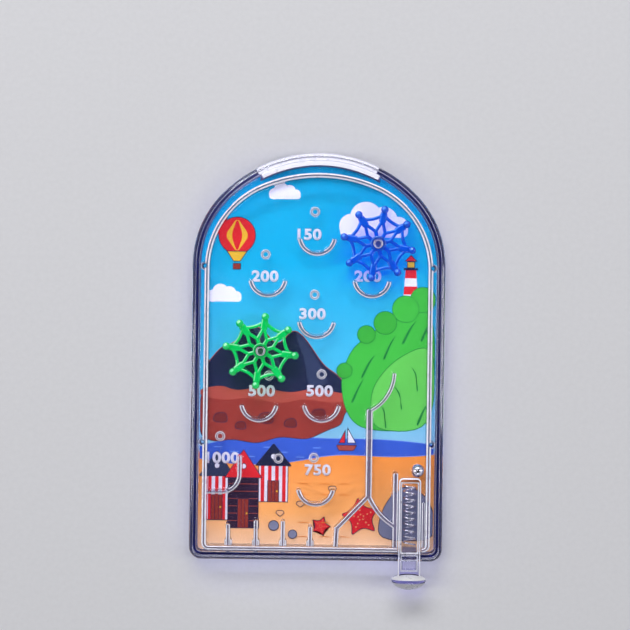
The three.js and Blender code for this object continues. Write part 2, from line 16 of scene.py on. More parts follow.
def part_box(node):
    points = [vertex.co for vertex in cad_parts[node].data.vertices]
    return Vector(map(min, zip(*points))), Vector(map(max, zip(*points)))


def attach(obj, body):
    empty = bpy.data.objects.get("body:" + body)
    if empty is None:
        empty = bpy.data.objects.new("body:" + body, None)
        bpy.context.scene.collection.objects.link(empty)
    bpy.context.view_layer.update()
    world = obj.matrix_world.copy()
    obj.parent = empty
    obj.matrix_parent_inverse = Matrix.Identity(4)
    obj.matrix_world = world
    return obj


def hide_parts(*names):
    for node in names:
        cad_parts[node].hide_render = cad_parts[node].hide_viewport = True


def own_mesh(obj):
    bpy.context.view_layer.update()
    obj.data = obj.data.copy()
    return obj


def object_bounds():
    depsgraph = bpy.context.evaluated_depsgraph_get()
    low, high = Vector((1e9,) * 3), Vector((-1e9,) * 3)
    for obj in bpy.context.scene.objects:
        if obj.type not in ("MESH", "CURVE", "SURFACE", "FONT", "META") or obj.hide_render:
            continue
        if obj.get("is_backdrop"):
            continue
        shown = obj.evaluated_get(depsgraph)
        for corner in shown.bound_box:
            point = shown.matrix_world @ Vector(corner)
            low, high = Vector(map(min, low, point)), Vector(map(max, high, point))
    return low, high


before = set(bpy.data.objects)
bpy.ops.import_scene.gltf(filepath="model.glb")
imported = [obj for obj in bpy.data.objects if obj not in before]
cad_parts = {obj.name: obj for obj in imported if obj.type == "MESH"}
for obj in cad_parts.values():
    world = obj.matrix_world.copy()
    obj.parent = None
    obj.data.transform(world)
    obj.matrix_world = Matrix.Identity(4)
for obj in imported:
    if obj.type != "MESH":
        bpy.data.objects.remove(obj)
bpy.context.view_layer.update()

MM = 0.001
print("solids:", sorted(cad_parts))

# %% [markdown]
# ## Camera
# The photograph looks straight down on the toy, which lies turned a little in its pack. A long
# lens keeps the upright walls nearly edge on. The real width that the frame takes in, at the
# height of the playfield, sets how far away the camera stands.

# %% Camera straight above
FRAME_WIDTH = 201.6 * MM
LOOK_AT = Vector((-1.10, 13.24, 6)) * MM
TOY_TURN = radians(0.76)
LENS_MM = 150


def object_of(name, data):
    made = bpy.data.objects.new(name, data)
    bpy.context.collection.objects.link(made)
    return made


camera_data = bpy.data.cameras.new("camera")
camera_data.lens = LENS_MM
camera_distance = FRAME_WIDTH * LENS_MM / camera_data.sensor_width
camera = object_of("camera", camera_data)
camera.location = LOOK_AT + Vector((0, 0, camera_distance))
camera.rotation_euler = (0, 0, TOY_TURN)
bpy.context.scene.camera = camera
bpy.context.scene.view_settings.view_transform = "Standard"
print("camera distance in mm:", round(camera_distance / MM))

# %% [markdown]
# ## Making materials
# Colours are written as the sRGB hex values that a paint program shows. Shaders work with
# linear light, so one function converts them. Another adds a shader node, fills in its sockets
# and links it, which keeps each material to a few lines.

# %% Colour and node helpers
# Nearly all of a noise texture's values lie between these two.
NOISE_LOW, NOISE_HIGH = 0.25, 0.75


def linear(hex_colour):
    channels = [int(hex_colour[i:i + 2], 16) / 255 for i in (1, 3, 5)]
    return (*[c / 12.92 if c <= 0.04045 else ((c + 0.055) / 1.055) ** 2.4 for c in channels], 1)


def node(material, kind, inputs=None, stops=(), **settings):
    """Adds a node. A hex colour is made linear, and a node is linked from its first output."""
    made = material.node_tree.nodes.new("ShaderNode" + kind)
    for name, value in settings.items():
        setattr(made, name, value)
    for spot, _ in stops[1:-1]:
        made.color_ramp.elements.new(spot)
    for i, (spot, colour) in enumerate(stops):
        made.color_ramp.elements[i].position = spot
        made.color_ramp.elements[i].color = linear(colour)
    for socket, value in (inputs or {}).items():
        if isinstance(value, str):
            value = linear(value)
        if isinstance(value, bpy.types.Node):
            value = value.outputs[0]
        if isinstance(value, bpy.types.NodeSocket):
            material.node_tree.links.new(value, made.inputs[socket])
        else:
            made.inputs[socket].default_value = value
    return made


def new_material(name):
    material = bpy.data.materials.new(name)
    material.use_nodes = True
    material.node_tree.nodes.clear()
    return material


def grain(material, size_mm, low, high, stretch=(1, 1, 1)):
    """Noise with patches of a real size, spread from low to high."""
    place = node(material, "TexCoord").outputs["Object"]
    scaled = node(material, "Mapping", {"Vector": place, "Scale": stretch})
    scale = 1 / (size_mm * MM)
    noise = node(material, "TexNoise", {"Vector": scaled, "Scale": scale, "Detail": 3.0})
    return node(material, "MapRange", {
        "Value": noise, "From Min": NOISE_LOW, "From Max": NOISE_HIGH,
        "To Min": low, "To Max": high,
    })


def mottled(material, size_mm, colour, other):
    """Two near colours in patches of a real size."""
    return node(material, "MixRGB", {
        "Fac": grain(material, size_mm, 0, 1), "Color1": colour, "Color2": other,
    })


def relief(material, size_mm, height_mm, stretch=(1, 1, 1)):
    """A normal for hills and dips of a real size and height."""
    hills = grain(material, size_mm, 0, 1, stretch)
    return node(material, "Bump", {"Height": hills, "Distance": height_mm * MM, "Strength": 1.0})


print("a middle grey in linear light:", round(linear("#808080")[0], 3))

# %% [markdown]
# ## Floor and lights
# A plain pale floor and soft lamps stand in for a product table. Straight above it is nearly
# dark, because the flat lens would mirror a bright ceiling and veil the picture. Four long
# lamps stand low all round instead, and each rounded edge that turns towards one catches a
# white line, as in the photograph; on the clear rims these lines are strengthened by painted
# highlights. A small one high up puts the glints on wire, ball and stars, and the stars' pale
# edges are painted highlights too.

# %% Floor
FLOOR_SIZE = 4
FLOOR_DROP = 0.05 * MM


def moved(bm, vec):
    bmesh.ops.translate(bm, vec=vec, verts=bm.verts)
    return bm


def mesh_of(bm, name="working"):
    mesh = bpy.data.meshes.new(name)
    bm.to_mesh(mesh)
    bm.free()
    return mesh


bm = bmesh.new()
bmesh.ops.create_grid(bm, x_segments=1, y_segments=1, size=FLOOR_SIZE / 2)
floor = object_of("floor", mesh_of(moved(bm, (0, 0, -FLOOR_DROP)), "floor"))
floor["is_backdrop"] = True

# Matt paper: the grain is too fine to see at this distance, so it is drawn a little coarser.
paper = new_material("studio_paper")
matt = node(paper, "BsdfDiffuse", {
    "Color": mottled(paper, 1.5, "#e6e6ea", "#eaeaee"), "Normal": relief(paper, 0.3, 0.01),
})
node(paper, "OutputMaterial", {"Surface": matt})
floor.data.materials.append(paper)
print("floor in metres:", tuple(floor.dimensions))

# %% Lamps and light tent
TENT_LIGHT = 0.25
TENT_SEEN = 1.0
BELOW_FIRST_BOUNCE = 0.5
SOFTBOXES = {
    "far_softbox": ((-0.1, 0.66, 0.66), (0.8, 0.18), 4.1),
    "right_softbox": ((0.7, 0.0, 0.6), (0.12, 0.7), 1.65),
    "left_softbox": ((-0.7, -0.05, 0.62), (0.12, 0.7), 1.65),
    "near_softbox": ((0.1, -0.72, 0.56), (0.6, 0.1), 0.8),
    "upper_softbox": ((-0.12, 0.22, 0.8), (0.09, 0.09), 0.5),
}

world = bpy.data.worlds.new("studio")
world.use_nodes = True
world.node_tree.nodes.clear()
bpy.context.scene.world = world
direction = node(world, "SeparateXYZ", {"Vector": node(world, "TexCoord").outputs["Generated"]})
sky = node(world, "ValToRGB", {"Fac": direction.outputs["Z"]},
           stops=((0.3, "#f2f3f8"), (0.88, "#6c6c72"), (0.97, "#202024")))
path = node(world, "LightPath").outputs
mirrored = node(world, "Math", {0: path["Is Glossy Ray"], 1: path["Is Transmission Ray"]},
                operation="MAXIMUM")
direct = node(world, "Math", {0: path["Diffuse Depth"], 1: BELOW_FIRST_BOUNCE},
              operation="LESS_THAN")
seen = node(world, "Math", {0: mirrored, 1: direct}, operation="MULTIPLY")
strength = node(world, "MapRange", {"Value": seen, "To Min": TENT_LIGHT, "To Max": TENT_SEEN})
tent = node(world, "Background", {"Color": sky, "Strength": strength})
node(world, "OutputWorld", {"Surface": tent})

for name, (spot, size, power) in SOFTBOXES.items():
    lamp = bpy.data.lights.new(name, "AREA")
    lamp.shape = "RECTANGLE"
    lamp.size, lamp.size_y = size
    lamp.energy = power
    softbox = object_of(name, lamp)
    softbox.location = spot
    softbox.rotation_euler = Vector(spot).to_track_quat("Z", "Y").to_euler()
print("lamps:", list(SOFTBOXES))

# %% [markdown]
# ## Clear plastic
# The case, the playfield and the plunger are injection-moulded general-purpose polystyrene,
# which is as clear as glass and bends light a little more (IOR 1.59). Moulders add a trace of
# blue toner, so a thin lens looks clean while light that travels far along a wall comes out
# blue-violet. Absorption in the volume gives exactly that. Shadow rays pass straight through,
# because light must reach the card without the noise of true caustics.
#
# Every rim of clear plastic shows a white line. Those lines are painted highlights: the rims
# where they fall are frosted, sharing the plastic's tint but scattering most of their light at
# the surface, so they stay white whatever the lamps do.

# %% Clear plastic
POLYSTYRENE_IOR = 1.59
HAZE_MM = 3


def lit_through(material, body, colour):
    """The body's shader, with shadow rays let straight through in a colour."""
    through = node(material, "BsdfTransparent", {"Color": colour})
    shadow = node(material, "LightPath").outputs["Is Shadow Ray"]
    return node(material, "MixShader", {"Fac": shadow, 1: body, 2: through})


def clear_polystyrene(name, tint, density, clearness=1.0, cloud="#ffffff", haze=(0.02, 0.05),
                      grain_mm=7, grain_height=0.004):
    material = new_material(name + "_polystyrene")
    body = node(material, "BsdfPrincipled", {
        "Base Color": cloud,
        "Roughness": grain(material, HAZE_MM, *haze),
        "IOR": POLYSTYRENE_IOR,
        "Transmission Weight": clearness,
        "Normal": relief(material, grain_mm, grain_height),
    })
    toner = node(material, "VolumeAbsorption", {"Color": tint, "Density": density})
    surface = lit_through(material, body, "#fafafc")
    node(material, "OutputMaterial", {"Surface": surface, "Volume": toner})
    return material


# Nearly colourless, with long soft waves of shrinkage: a clean window on to the picture.
CLEAR = ("#9a98ec", 40)
case_plastic = clear_polystyrene("clear_cover", *CLEAR)
playfield_plastic = clear_polystyrene("clear_playfield", *CLEAR)
# More toner: the dark navy line all round the case, where one looks along the tray's wall.
VIOLET = ("#7c84cc", 450)
tray_plastic = clear_polystyrene("violet_tray", *VIOLET)
# Between the two: the lilac shade of the thick plunger.
LILAC = ("#9a90e8", 160)
plunger_plastic = clear_polystyrene("clear_plunger", *LILAC)
# Painted highlights: frosted faces for the white lines of walls, cups and pegs, and the white
# band at the crown. Such frosting would be finer than a pixel, so its grain is drawn coarser.
PAINTED_LIGHT_FROST = dict(haze=(0.25, 0.35), grain_mm=0.2)
tray_painted_highlight = clear_polystyrene("tray_painted_highlight", *VIOLET, clearness=0.2, **PAINTED_LIGHT_FROST)
rim_painted_highlight = clear_polystyrene("rim_painted_highlight", *CLEAR, clearness=0.2, **PAINTED_LIGHT_FROST)
plunger_painted_highlight = clear_polystyrene("plunger_painted_highlight", *LILAC, clearness=0.15, **PAINTED_LIGHT_FROST)
# Painted sheen: a lilac veil on the walls' flat tops and on the plunger's inner edges.
top_painted_sheen = clear_polystyrene("top_painted_sheen", *CLEAR, clearness=0.8, cloud="#dccff2",
                              haze=(0.03, 0.07), grain_mm=1.5, grain_height=0.003)
plunger_painted_sheen = clear_polystyrene("plunger_painted_sheen", *LILAC, clearness=0.45, **PAINTED_LIGHT_FROST)
print("clear plastics:", case_plastic.name, playfield_plastic.name, plunger_plastic.name)

# %% [markdown]
# ## Coloured plastic and steel
# The spinners are dyed translucent polystyrene: light enters, picks up the dye and leaves
# again, so they are vivid even over the dark parts of the picture. The upper edges that face up
# towards the high lamp get a paler dye, a painted highlight. The ball is a polished bearing
# ball, and the spring is bright drawn wire.

# %% Coloured plastic and steel
DYE_REACH = 1.2 * MM


def dyed_polystyrene(name, colour, deep, shadow):
    material = new_material(name + "_polystyrene")
    body = node(material, "BsdfPrincipled", {
        "Base Color": mottled(material, 2.5, colour, deep),
        "Roughness": grain(material, 1, 0.05, 0.12),
        "IOR": POLYSTYRENE_IOR,
        "Transmission Weight": 0.25,
        "Subsurface Weight": 0.3,
        "Subsurface Radius": (DYE_REACH, DYE_REACH, DYE_REACH),
        "Subsurface Scale": 1.0,
        "Normal": relief(material, 1.2, 0.003),
    })
    node(material, "OutputMaterial", {"Surface": lit_through(material, body, shadow)})
    return material


def polished_steel(name, colour, roughness, grain_mm, stretch=(1, 1, 1)):
    material = new_material(name)
    body = node(material, "BsdfPrincipled", {
        "Base Color": colour,
        "Metallic": 1.0,
        "Roughness": grain(material, grain_mm, *roughness, stretch),
        "Normal": relief(material, grain_mm, 0.0004, stretch),
    })
    node(material, "OutputMaterial", {"Surface": body})
    return material


# Vivid bodies that colour their own shadows, and a paler dye on the strut edges that face the high
# lamp: a painted highlight.
blue_plastic = dyed_polystyrene("blue_dyed", "#0662da", "#0452c8", "#1c6cff")
blue_painted_highlight = dyed_polystyrene("blue_painted_highlight", "#5ca8ff", "#4898f8", "#1c6cff")
green_plastic = dyed_polystyrene("green_dyed", "#0ce070", "#06cc60", "#50e890")
green_painted_highlight = dyed_polystyrene("green_painted_highlight", "#a4ffc8", "#8cf8b4", "#50e890")
# A small mirror of the lamps with fine lapping marks, and bright wire with faint die marks. The
# marks are too fine to show, so they are drawn coarser.
ball_steel = polished_steel("polished_bearing_steel", "#e0e0e6", (0.06, 0.14), 0.3, (1, 1, 5))
wire_steel = polished_steel("drawn_spring_wire", "#ecebf2", (0.12, 0.24), 0.08)
print("dyed plastics and steels:", blue_plastic.name, green_plastic.name, ball_steel.name)

# %% [markdown]
# ## Finishing a piece
# Every piece is shaped in millimetres, scaled to metres at the end, and shaded smooth except
# where two faces meet at a clear angle. Clear plastic shows every wrong normal, so a Weighted
# Normal modifier keeps the large flat faces flat right up to their rounded edges. Then the
# piece rides on its body and takes its material.

# %% Finish a piece
SHARP_ANGLE = radians(34)
FACE_WEIGHT = 90


def place_painted_light(bm, rule):
    """Gives each face the material whose number a rule returns for its middle and normal; the rules
    place painted highlights and painted sheen.
    """
    bm.normal_update()
    for face in bm.faces:
        face.material_index = int(rule(face.calc_center_median(), face.normal))


def finish_piece(name, bm, materials, body, replaced=None, printed=False):
    bmesh.ops.scale(bm, vec=(MM, MM, MM), verts=bm.verts)
    mesh = mesh_of(bm, name)
    for material in materials:
        mesh.materials.append(material)
    piece = object_of(name, mesh)
    if not printed:
        for polygon in mesh.polygons:
            polygon.use_smooth = True
        mesh.set_sharp_from_angle(angle=SHARP_ANGLE)
        weighted = piece.modifiers.new("even_normals", "WEIGHTED_NORMAL")
        weighted.keep_sharp = True
        weighted.weight = FACE_WEIGHT
    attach(piece, body)
    if replaced:
        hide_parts(replaced)
    print(name, "faces:", len(mesh.polygons))
    return piece


# %% [markdown]
# ## The arch
# Tray and cover share one outline: straight sides, two shoulders and a crown. It is drawn as a
# moulder's pattern maker would scribe it. One point runs along the straight parts by
# extrusion and is spun about each arc's centre, and the finished half is mirrored.

# %% Arch outline
Arch = namedtuple("Arch", "half_width low_y spring_y shoulder_x crown_y crown_radius lean corner")
STEP_ANGLE = radians(2.5)
SAME_PLACE = 0.001


def box_mm(node_name):
    """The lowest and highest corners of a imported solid, in millimetres."""
    return [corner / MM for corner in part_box(node_name)]


def arch(half_width, top, bottom, rise_share, shoulder_share, corner):
    rise = half_width * rise_share
    shoulder = rise * shoulder_share
    shoulder_x = half_width - shoulder
    drop = (shoulder_x ** 2 - (rise - shoulder) ** 2) / (2 * (rise - shoulder))
    lean = atan2(drop, shoulder_x)
    crown_y = top - rise - drop
    return Arch(half_width, bottom, top - rise, shoulder_x, crown_y, rise + drop, lean, corner)


def run_to(bm, vert, x, y):
    grown = bmesh.ops.extrude_vert_indiv(bm, verts=[vert])["verts"][0]
    grown.co = Vector((x, y, vert.co.z))
    return grown


def turn_about(bm, vert, centre, angle, steps=None):
    steps = steps or max(2, round(abs(angle) / STEP_ANGLE))
    turn = bmesh.ops.spin(bm, geom=[vert], cent=(*centre, vert.co.z), axis=(0, 0, 1),
                          angle=angle, steps=steps)
    return next(g for g in turn["geom_last"] if isinstance(g, bmesh.types.BMVert))


def arch_loop(bm, shape, inset, z):
    """One closed loop of edges, an arch's outline set in by a distance."""
    known = set(bm.verts)
    corner_x = shape.half_width - shape.corner
    start = bm.verts.new((0, shape.low_y + inset, z))
    at = run_to(bm, start, corner_x, start.co.y)
    at = turn_about(bm, at, (corner_x, shape.low_y + shape.corner), pi / 2)
    at = run_to(bm, at, shape.half_width - inset, shape.spring_y)
    at = turn_about(bm, at, (shape.shoulder_x, shape.spring_y), shape.lean)
    turn_about(bm, at, (0, shape.crown_y), pi / 2 - shape.lean)
    half = [v for v in bm.verts if v not in known]
    edges = [e for e in bm.edges if e.verts[0] not in known]
    bmesh.ops.mirror(bm, geom=half + edges, axis="X", merge_dist=SAME_PLACE)
    return [e for e in bm.edges if e.verts[0] not in known]


case_low, case_high = box_mm("back_tray")
case_arch = arch(case_high.x, case_high.y, case_low.y, rise_share=0.889, shoulder_share=0.907,
                 corner=4.0)
print("case arch:", [round(v, 2) for v in case_arch])

# %% [markdown]
# ## Shells
# Both halves of the case have the same section all the way round. Such a shell is a stack of
# outlines that follow the section, each bridged to the next, with a flat face at both ends.
# Moulded corners are never sharp, so each corner of the section is rounded first. Closed shapes
# are joined and cut by a Boolean modifier, whose result is read back into mesh code.

# %% Rounded sections and bridged shells
EDGE_STEPS = 4
LARGE_EDGE = 0.5


def round_section(corners):
    """Section points (inset, z) with each inner corner rounded to its own radius."""
    points = []
    for i in range(1, len(corners) - 1):
        corner = Vector(corners[i][:2])
        back = (Vector(corners[i - 1][:2]) - corner).normalized()
        ahead = (Vector(corners[i + 1][:2]) - corner).normalized()
        radius = corners[i][2]
        centre = corner + radius * (back + ahead)
        steps = 2 * EDGE_STEPS if radius > LARGE_EDGE else EDGE_STEPS
        for k in range(steps + 1):
            angle = pi / 2 * k / steps
            points.append(centre - radius * (ahead * cos(angle) + back * sin(angle)))
    return points


def outward(bm):
    bmesh.ops.recalc_face_normals(bm, faces=bm.faces)
    return bm


def stacked(section, loop_at, ring=False):
    """Bridges the loops at a section's points. A ring's section closes on itself."""
    bm = bmesh.new()
    first = last = loop_at(bm, *section[0])
    if not ring:
        bmesh.ops.contextual_create(bm, geom=last)
    for reach, z in section[1:]:
        loop = loop_at(bm, reach, z)
        bmesh.ops.bridge_loops(bm, edges=last + loop)
        last = loop
    if ring:
        bmesh.ops.bridge_loops(bm, edges=last + first)
    else:
        bmesh.ops.contextual_create(bm, geom=last)
    return outward(bm)


def arch_shell(shape, corners, ring=False):
    return stacked(round_section(corners), lambda bm, *at: arch_loop(bm, shape, *at), ring)


def box_of(low, high):
    bm = bmesh.new()
    bmesh.ops.create_cube(bm, size=1)
    bmesh.ops.scale(bm, vec=Vector(high) - Vector(low), verts=bm.verts)
    return moved(bm, (Vector(high) + Vector(low)) / 2)


print("points round a small corner:", EDGE_STEPS + 1)

# %% Joining and cutting
SOLVER = "MANIFOLD"


def joined(bm, other, operation):
    """Adds another closed mesh to this one, or cuts it away."""
    base, tool = [object_of("working", mesh_of(source)) for source in (bm, other)]
    cut = base.modifiers.new("cut", "BOOLEAN")
    cut.operation = operation
    cut.solver = SOLVER
    cut.object = tool
    bpy.context.view_layer.update()
    result = bmesh.new()
    result.from_mesh(base.evaluated_get(bpy.context.evaluated_depsgraph_get()).to_mesh())
    for made in (base, tool):
        bpy.data.meshes.remove(made.data)
    return result


def corners_of(bm):
    axes = list(zip(*(v.co for v in bm.verts)))
    return [min(axis) for axis in axes], [max(axis) for axis in axes]


def apart(a, b):
    return any(a[0][i] > b[1][i] or b[0][i] > a[1][i] for i in range(3))


def united(parts):
    """Joins closed parts. Parts that stand apart share a layer, so few joins are needed."""
    layers = []
    for part in parts:
        corners = corners_of(part)
        free = (layer for layer in layers if all(apart(corners, other) for other in layer[1]))
        layer = next(free, None)
        if not layer:
            layer = (bmesh.new(), [])
            layers.append(layer)
        layer[1].append(corners)
        mesh = mesh_of(part)
        layer[0].from_mesh(mesh)
        bpy.data.meshes.remove(mesh)
    whole = layers[0][0]
    for layer in layers[1:]:
        whole = joined(whole, layer[0], "UNION")
    print("parts:", len(parts), "layers:", len(layers))
    return whole


print("solver for joins and cuts:", SOLVER)

# %% [markdown]
# ## Tray
# The back half is one moulding: a floor, a low wall with a lip inside its rim, a thick rib inside
# the crown and a slot for the plunger. The rib's section is spun about the crown's centre.

# %% Tray
WALL, FLOOR, LENS = 2.15, 1.6, 1.6
LIP, LIP_HEIGHT = 1.0, 1.6
CASE_EDGE, SMALL_EDGE = 1.2, 0.12
RIB_HALF_WIDTH, RIB_DEPTH, RIB_STEPS = 18.9, 1.45, 24
SLOT_X, SLOT_Z = (26.1, 33.8), (3.6, 8.75)
# Every cutter reaches this far past what it cuts.
PAST = 1

rim_z = case_high.z - LIP_HEIGHT
plunger_low, plunger_high = box_mm("plunger")
slot_low = (SLOT_X[0], case_low.y - PAST, SLOT_Z[0])
slot_high = (SLOT_X[1], case_low.y + WALL + PAST, SLOT_Z[1])

tray = arch_shell(case_arch, [
    (WALL + 1, FLOOR),
    (WALL, FLOOR, SMALL_EDGE),
    (WALL, case_high.z, SMALL_EDGE),
    (WALL - LIP, case_high.z, SMALL_EDGE),
    (WALL - LIP, rim_z, SMALL_EDGE),
    (0, rim_z, SMALL_EDGE),
    (0, 0, CASE_EDGE),
    (WALL + 1, 0),
])
crown = (0, case_arch.crown_y, 0)
rib_inside = case_high.y - WALL - RIB_DEPTH
rib_outside = case_high.y - WALL + LIP / 2
rib_turn = asin(RIB_HALF_WIDTH / (case_arch.crown_radius - WALL))
rib = bmesh.new()
rib.faces.new([rib.verts.new((SMALL_EDGE, y, z)) for y, z in (
    (rib_inside, FLOOR / 2), (rib_outside, FLOOR / 2), (rib_outside, case_high.z),
    (rib_inside, case_high.z))])
bmesh.ops.rotate(rib, verts=rib.verts, cent=crown, matrix=Matrix.Rotation(-rib_turn, 3, "Z"))
bmesh.ops.spin(rib, geom=rib.faces[:] + rib.edges[:] + rib.verts[:], cent=crown,
               axis=(0, 0, 1), angle=2 * rib_turn, steps=RIB_STEPS)
tray = joined(tray, outward(rib), "UNION")
tray = joined(tray, box_of(slot_low, slot_high), "DIFFERENCE")
rib_reach = case_arch.crown_radius - WALL - RIB_DEPTH
rib_foot = case_arch.crown_y + sqrt(rib_reach ** 2 - RIB_HALF_WIDTH ** 2)
# The rib and the rim beside it are frosted as one white band, a painted highlight.
place_painted_light(tray, lambda at, normal: normal.z > 0.9 and at.z > rim_z - 0.1
      and abs(at.x) < RIB_HALF_WIDTH and at.y > rib_foot - 1)
finish_piece("case_back", tray, [tray_plastic, tray_painted_highlight], "housing",
             "back_tray")

# %% [markdown]
# ## Plunger
# The plunger is one clear moulding: a long flat bar with a window for the spring, hollowed on
# both sides behind the window to leave a web between two flanges, and a round knob. A bar is
# cut like that, all its sharp edges are rounded together, and the knob is joined on.

# %% Plunger
FLAT_ANGLE, CORNER_ANGLE = radians(1), radians(40)
HEAD, WINDOW_HALF, FRAME_BAR, WINDOW_FOOT = 1.7, 2.5, 1.05, -62.1
HEAD_CORNER, BAR_EDGE = 1.4, 0.42
WEB, FLANGE, THICKNESS = 1.8, 1.2, 4.6
KNOB_FRONT, KNOB_BACK = 3.25, 1.9

axis = (plunger_low + plunger_high) / 2
half_width = WINDOW_HALF + FRAME_BAR
knob_middle = plunger_low.y + KNOB_FRONT
shaft_foot = knob_middle + KNOB_BACK
low_z, high_z = axis.z - THICKNESS / 2, axis.z + THICKNESS / 2
plunger = box_of((axis.x - half_width, knob_middle, low_z),
                 (axis.x + half_width, plunger_high.y, high_z))
head_corners = [e for e in plunger.edges if abs(e.verts[0].co.z - e.verts[1].co.z) > 1
                and all(v.co.y > plunger_high.y - 0.1 for v in e.verts)]
bmesh.ops.bevel(plunger, geom=head_corners, offset=HEAD_CORNER, offset_type="OFFSET", segments=8,
                profile=0.5, affect="EDGES", clamp_overlap=True, material=-1)
cutters = [((-WINDOW_HALF, WINDOW_FOOT, low_z - PAST),
            (WINDOW_HALF, plunger_high.y - HEAD, high_z + PAST))]
for base, top in ((low_z - PAST, axis.z - WEB / 2), (axis.z + WEB / 2, high_z + PAST)):
    cutters.append(((FLANGE - half_width, shaft_foot + FLANGE, base),
                    (half_width - FLANGE, WINDOW_FOOT - FLANGE, top)))
for low, high in cutters:
    plunger = joined(plunger, moved(box_of(low, high), (axis.x, 0, 0)), "DIFFERENCE")
bmesh.ops.dissolve_limit(plunger, angle_limit=FLAT_ANGLE, verts=plunger.verts,
                         edges=plunger.edges)
sharp = [e for e in plunger.edges if e.is_manifold and e.calc_face_angle() > CORNER_ANGLE]
bmesh.ops.bevel(plunger, geom=sharp, offset=BAR_EDGE, offset_type="OFFSET", segments=4,
                profile=0.5, affect="EDGES", clamp_overlap=False, material=-1)
print("faces of the plunger's bar:", len(plunger.faces))

# %% Plunger's knob and finish
# A rim's faces lie this far below its top, and their normals' z lies between these.
RIM_BAND, UPWARD, LEVEL = 0.6, 0.1, 0.985

knob_radius = (plunger_high.x - plunger_low.x) / 2
knob = bmesh.new()
bmesh.ops.create_uvsphere(knob, u_segments=64, v_segments=32, radius=1,
                          matrix=Matrix.Rotation(pi / 2, 4, "X"))
for side, depth in ((1, KNOB_BACK), (-1, KNOB_FRONT)):
    half = [v for v in knob.verts if v.co.y * side > SAME_PLACE]
    bmesh.ops.scale(knob, verts=half, vec=(1, depth, 1))
bmesh.ops.scale(knob, verts=knob.verts, vec=(knob_radius, 1, knob_radius))
plunger = joined(plunger, moved(knob, (axis.x, knob_middle, axis.z)), "UNION")


def plunger_rule(at, normal):
    """Painted highlight (1) on outer edges and the knob's back, painted sheen (2) on inner edges
    and its front.
    """
    if at.y < shaft_foot and normal.z > UPWARD:
        return 2 * (normal.y < -0.4) + (normal.y > 0.12)
    outer = abs(at.x - axis.x) > half_width - FRAME_BAR / 2 or at.y > plunger_high.y - HEAD / 2
    edge = at.y > shaft_foot and at.z > high_z - RIM_BAND and UPWARD < normal.z < LEVEL
    return edge * (1 if outer else 2)


# Painted highlights and painted sheen on the plunger's edges and knob.
place_painted_light(plunger, plunger_rule)
finish_piece("launcher_plunger", plunger, [plunger_plastic, plunger_painted_highlight, plunger_painted_sheen],
             "launcher", "plunger")

# %% [markdown]
# ## Posts and walls
# Pegs, axles, bosses and pins are round, so each is turned as on a lathe: half its profile is
# spun about an upright axis. A moulded wall is a stack of loops round its centre line. The
# loops start wide in the fillet at the foot, narrow with the draft that lets the moulding
# leave its tool, and close over a rounded top, which is what catches the light.

# %% Rounded posts
FOOT_SINK = 0.1
# A fillet's centre stands a hair low, so that the fillet cuts into the plate's top.
FILLET, FILLET_RISE = 0.4, 0.98
POST_SIDES = 40
PLATE_THICKNESS = 1.4

card_low, card_high = box_mm("picture_card")
plate_low, plate_high = box_mm("playfield_plate")
plate_top = plate_low.z + PLATE_THICKNESS
ring_foot = plate_top - FOOT_SINK


def arc_points(reach, z, radius, start, end, steps=EDGE_STEPS):
    """Points (reach, z) on an arc. Angles are in quarter turns from outwards to upwards."""
    turns = [pi / 2 * (start + (end - start) * k / steps) for k in range(steps + 1)]
    return [(reach + radius * cos(t), z + radius * sin(t)) for t in turns]


def foot_fillet(reach):
    wide = reach + FILLET
    return [(wide, ring_foot)] + arc_points(wide, plate_top + FILLET_RISE * FILLET, FILLET, 3, 2)


def rounded_rim(outer, inner, top, edge):
    rim = arc_points(outer - edge, top - edge, edge, 0, 1)
    return rim + (arc_points(inner + edge, top - edge, edge, 1, 2) if inner else [(0, top)])


def merge_new(bm, known):
    bmesh.ops.remove_doubles(bm, verts=[v for v in bm.verts if v not in known], dist=SAME_PLACE)


def turned(bm, centre, profile):
    known = set(bm.verts)
    verts = [bm.verts.new((centre[0] + reach, centre[1], z)) for reach, z in profile]
    edges = [bm.edges.new(pair) for pair in zip(verts, verts[1:])]
    bmesh.ops.spin(bm, geom=verts + edges, cent=(*centre, 0), axis=(0, 0, 1), angle=2 * pi,
                   steps=POST_SIDES, use_merge=True)
    merge_new(bm, known)


def hollow_post(bm, centre, radius, top, edge, bore=0, bore_foot=0):
    rim = rounded_rim(radius, bore, top, edge)
    floor = [(bore, bore_foot), (0, bore_foot)] if bore else []
    turned(bm, centre, [(0, ring_foot)] + foot_fillet(radius) + rim + floor)


print("plate top in mm:", round(plate_top, 2))

# %% Rounded walls
Path = namedtuple("Path", "start end centre turn")
DRAFT = 0.12
CAP_STEPS = 12
# A rim's greatest radius, and the flat that a thin wall keeps on each side of its middle.
WALL_EDGE, TOP_HALF = 0.6, 0.06


def straight(start, end):
    return Path(Vector(start), Vector(end), None, 0)


def bulged(start, end, bulge):
    """An arc between two points that stands out to the right of the straight line."""
    start, end = Vector(start), Vector(end)
    half = (end - start).length / 2
    radius = (half ** 2 + bulge ** 2) / (2 * bulge)
    ahead = (end - start).normalized()
    right = Vector((ahead.y, -ahead.x))
    centre = (start + end) / 2 + right * (bulge - radius)
    return Path(start, end, centre, 2 * asin(half / radius))


def on_circle(radius, turn):
    return radius * Vector((cos(tau * turn), sin(tau * turn)))


def arc_path(centre, radius, start, end):
    """An arc about a centre. Its turns are shares of a full turn."""
    ends = [centre + on_circle(radius, turn) for turn in (start, end)]
    return Path(*ends, centre, tau * (end - start))


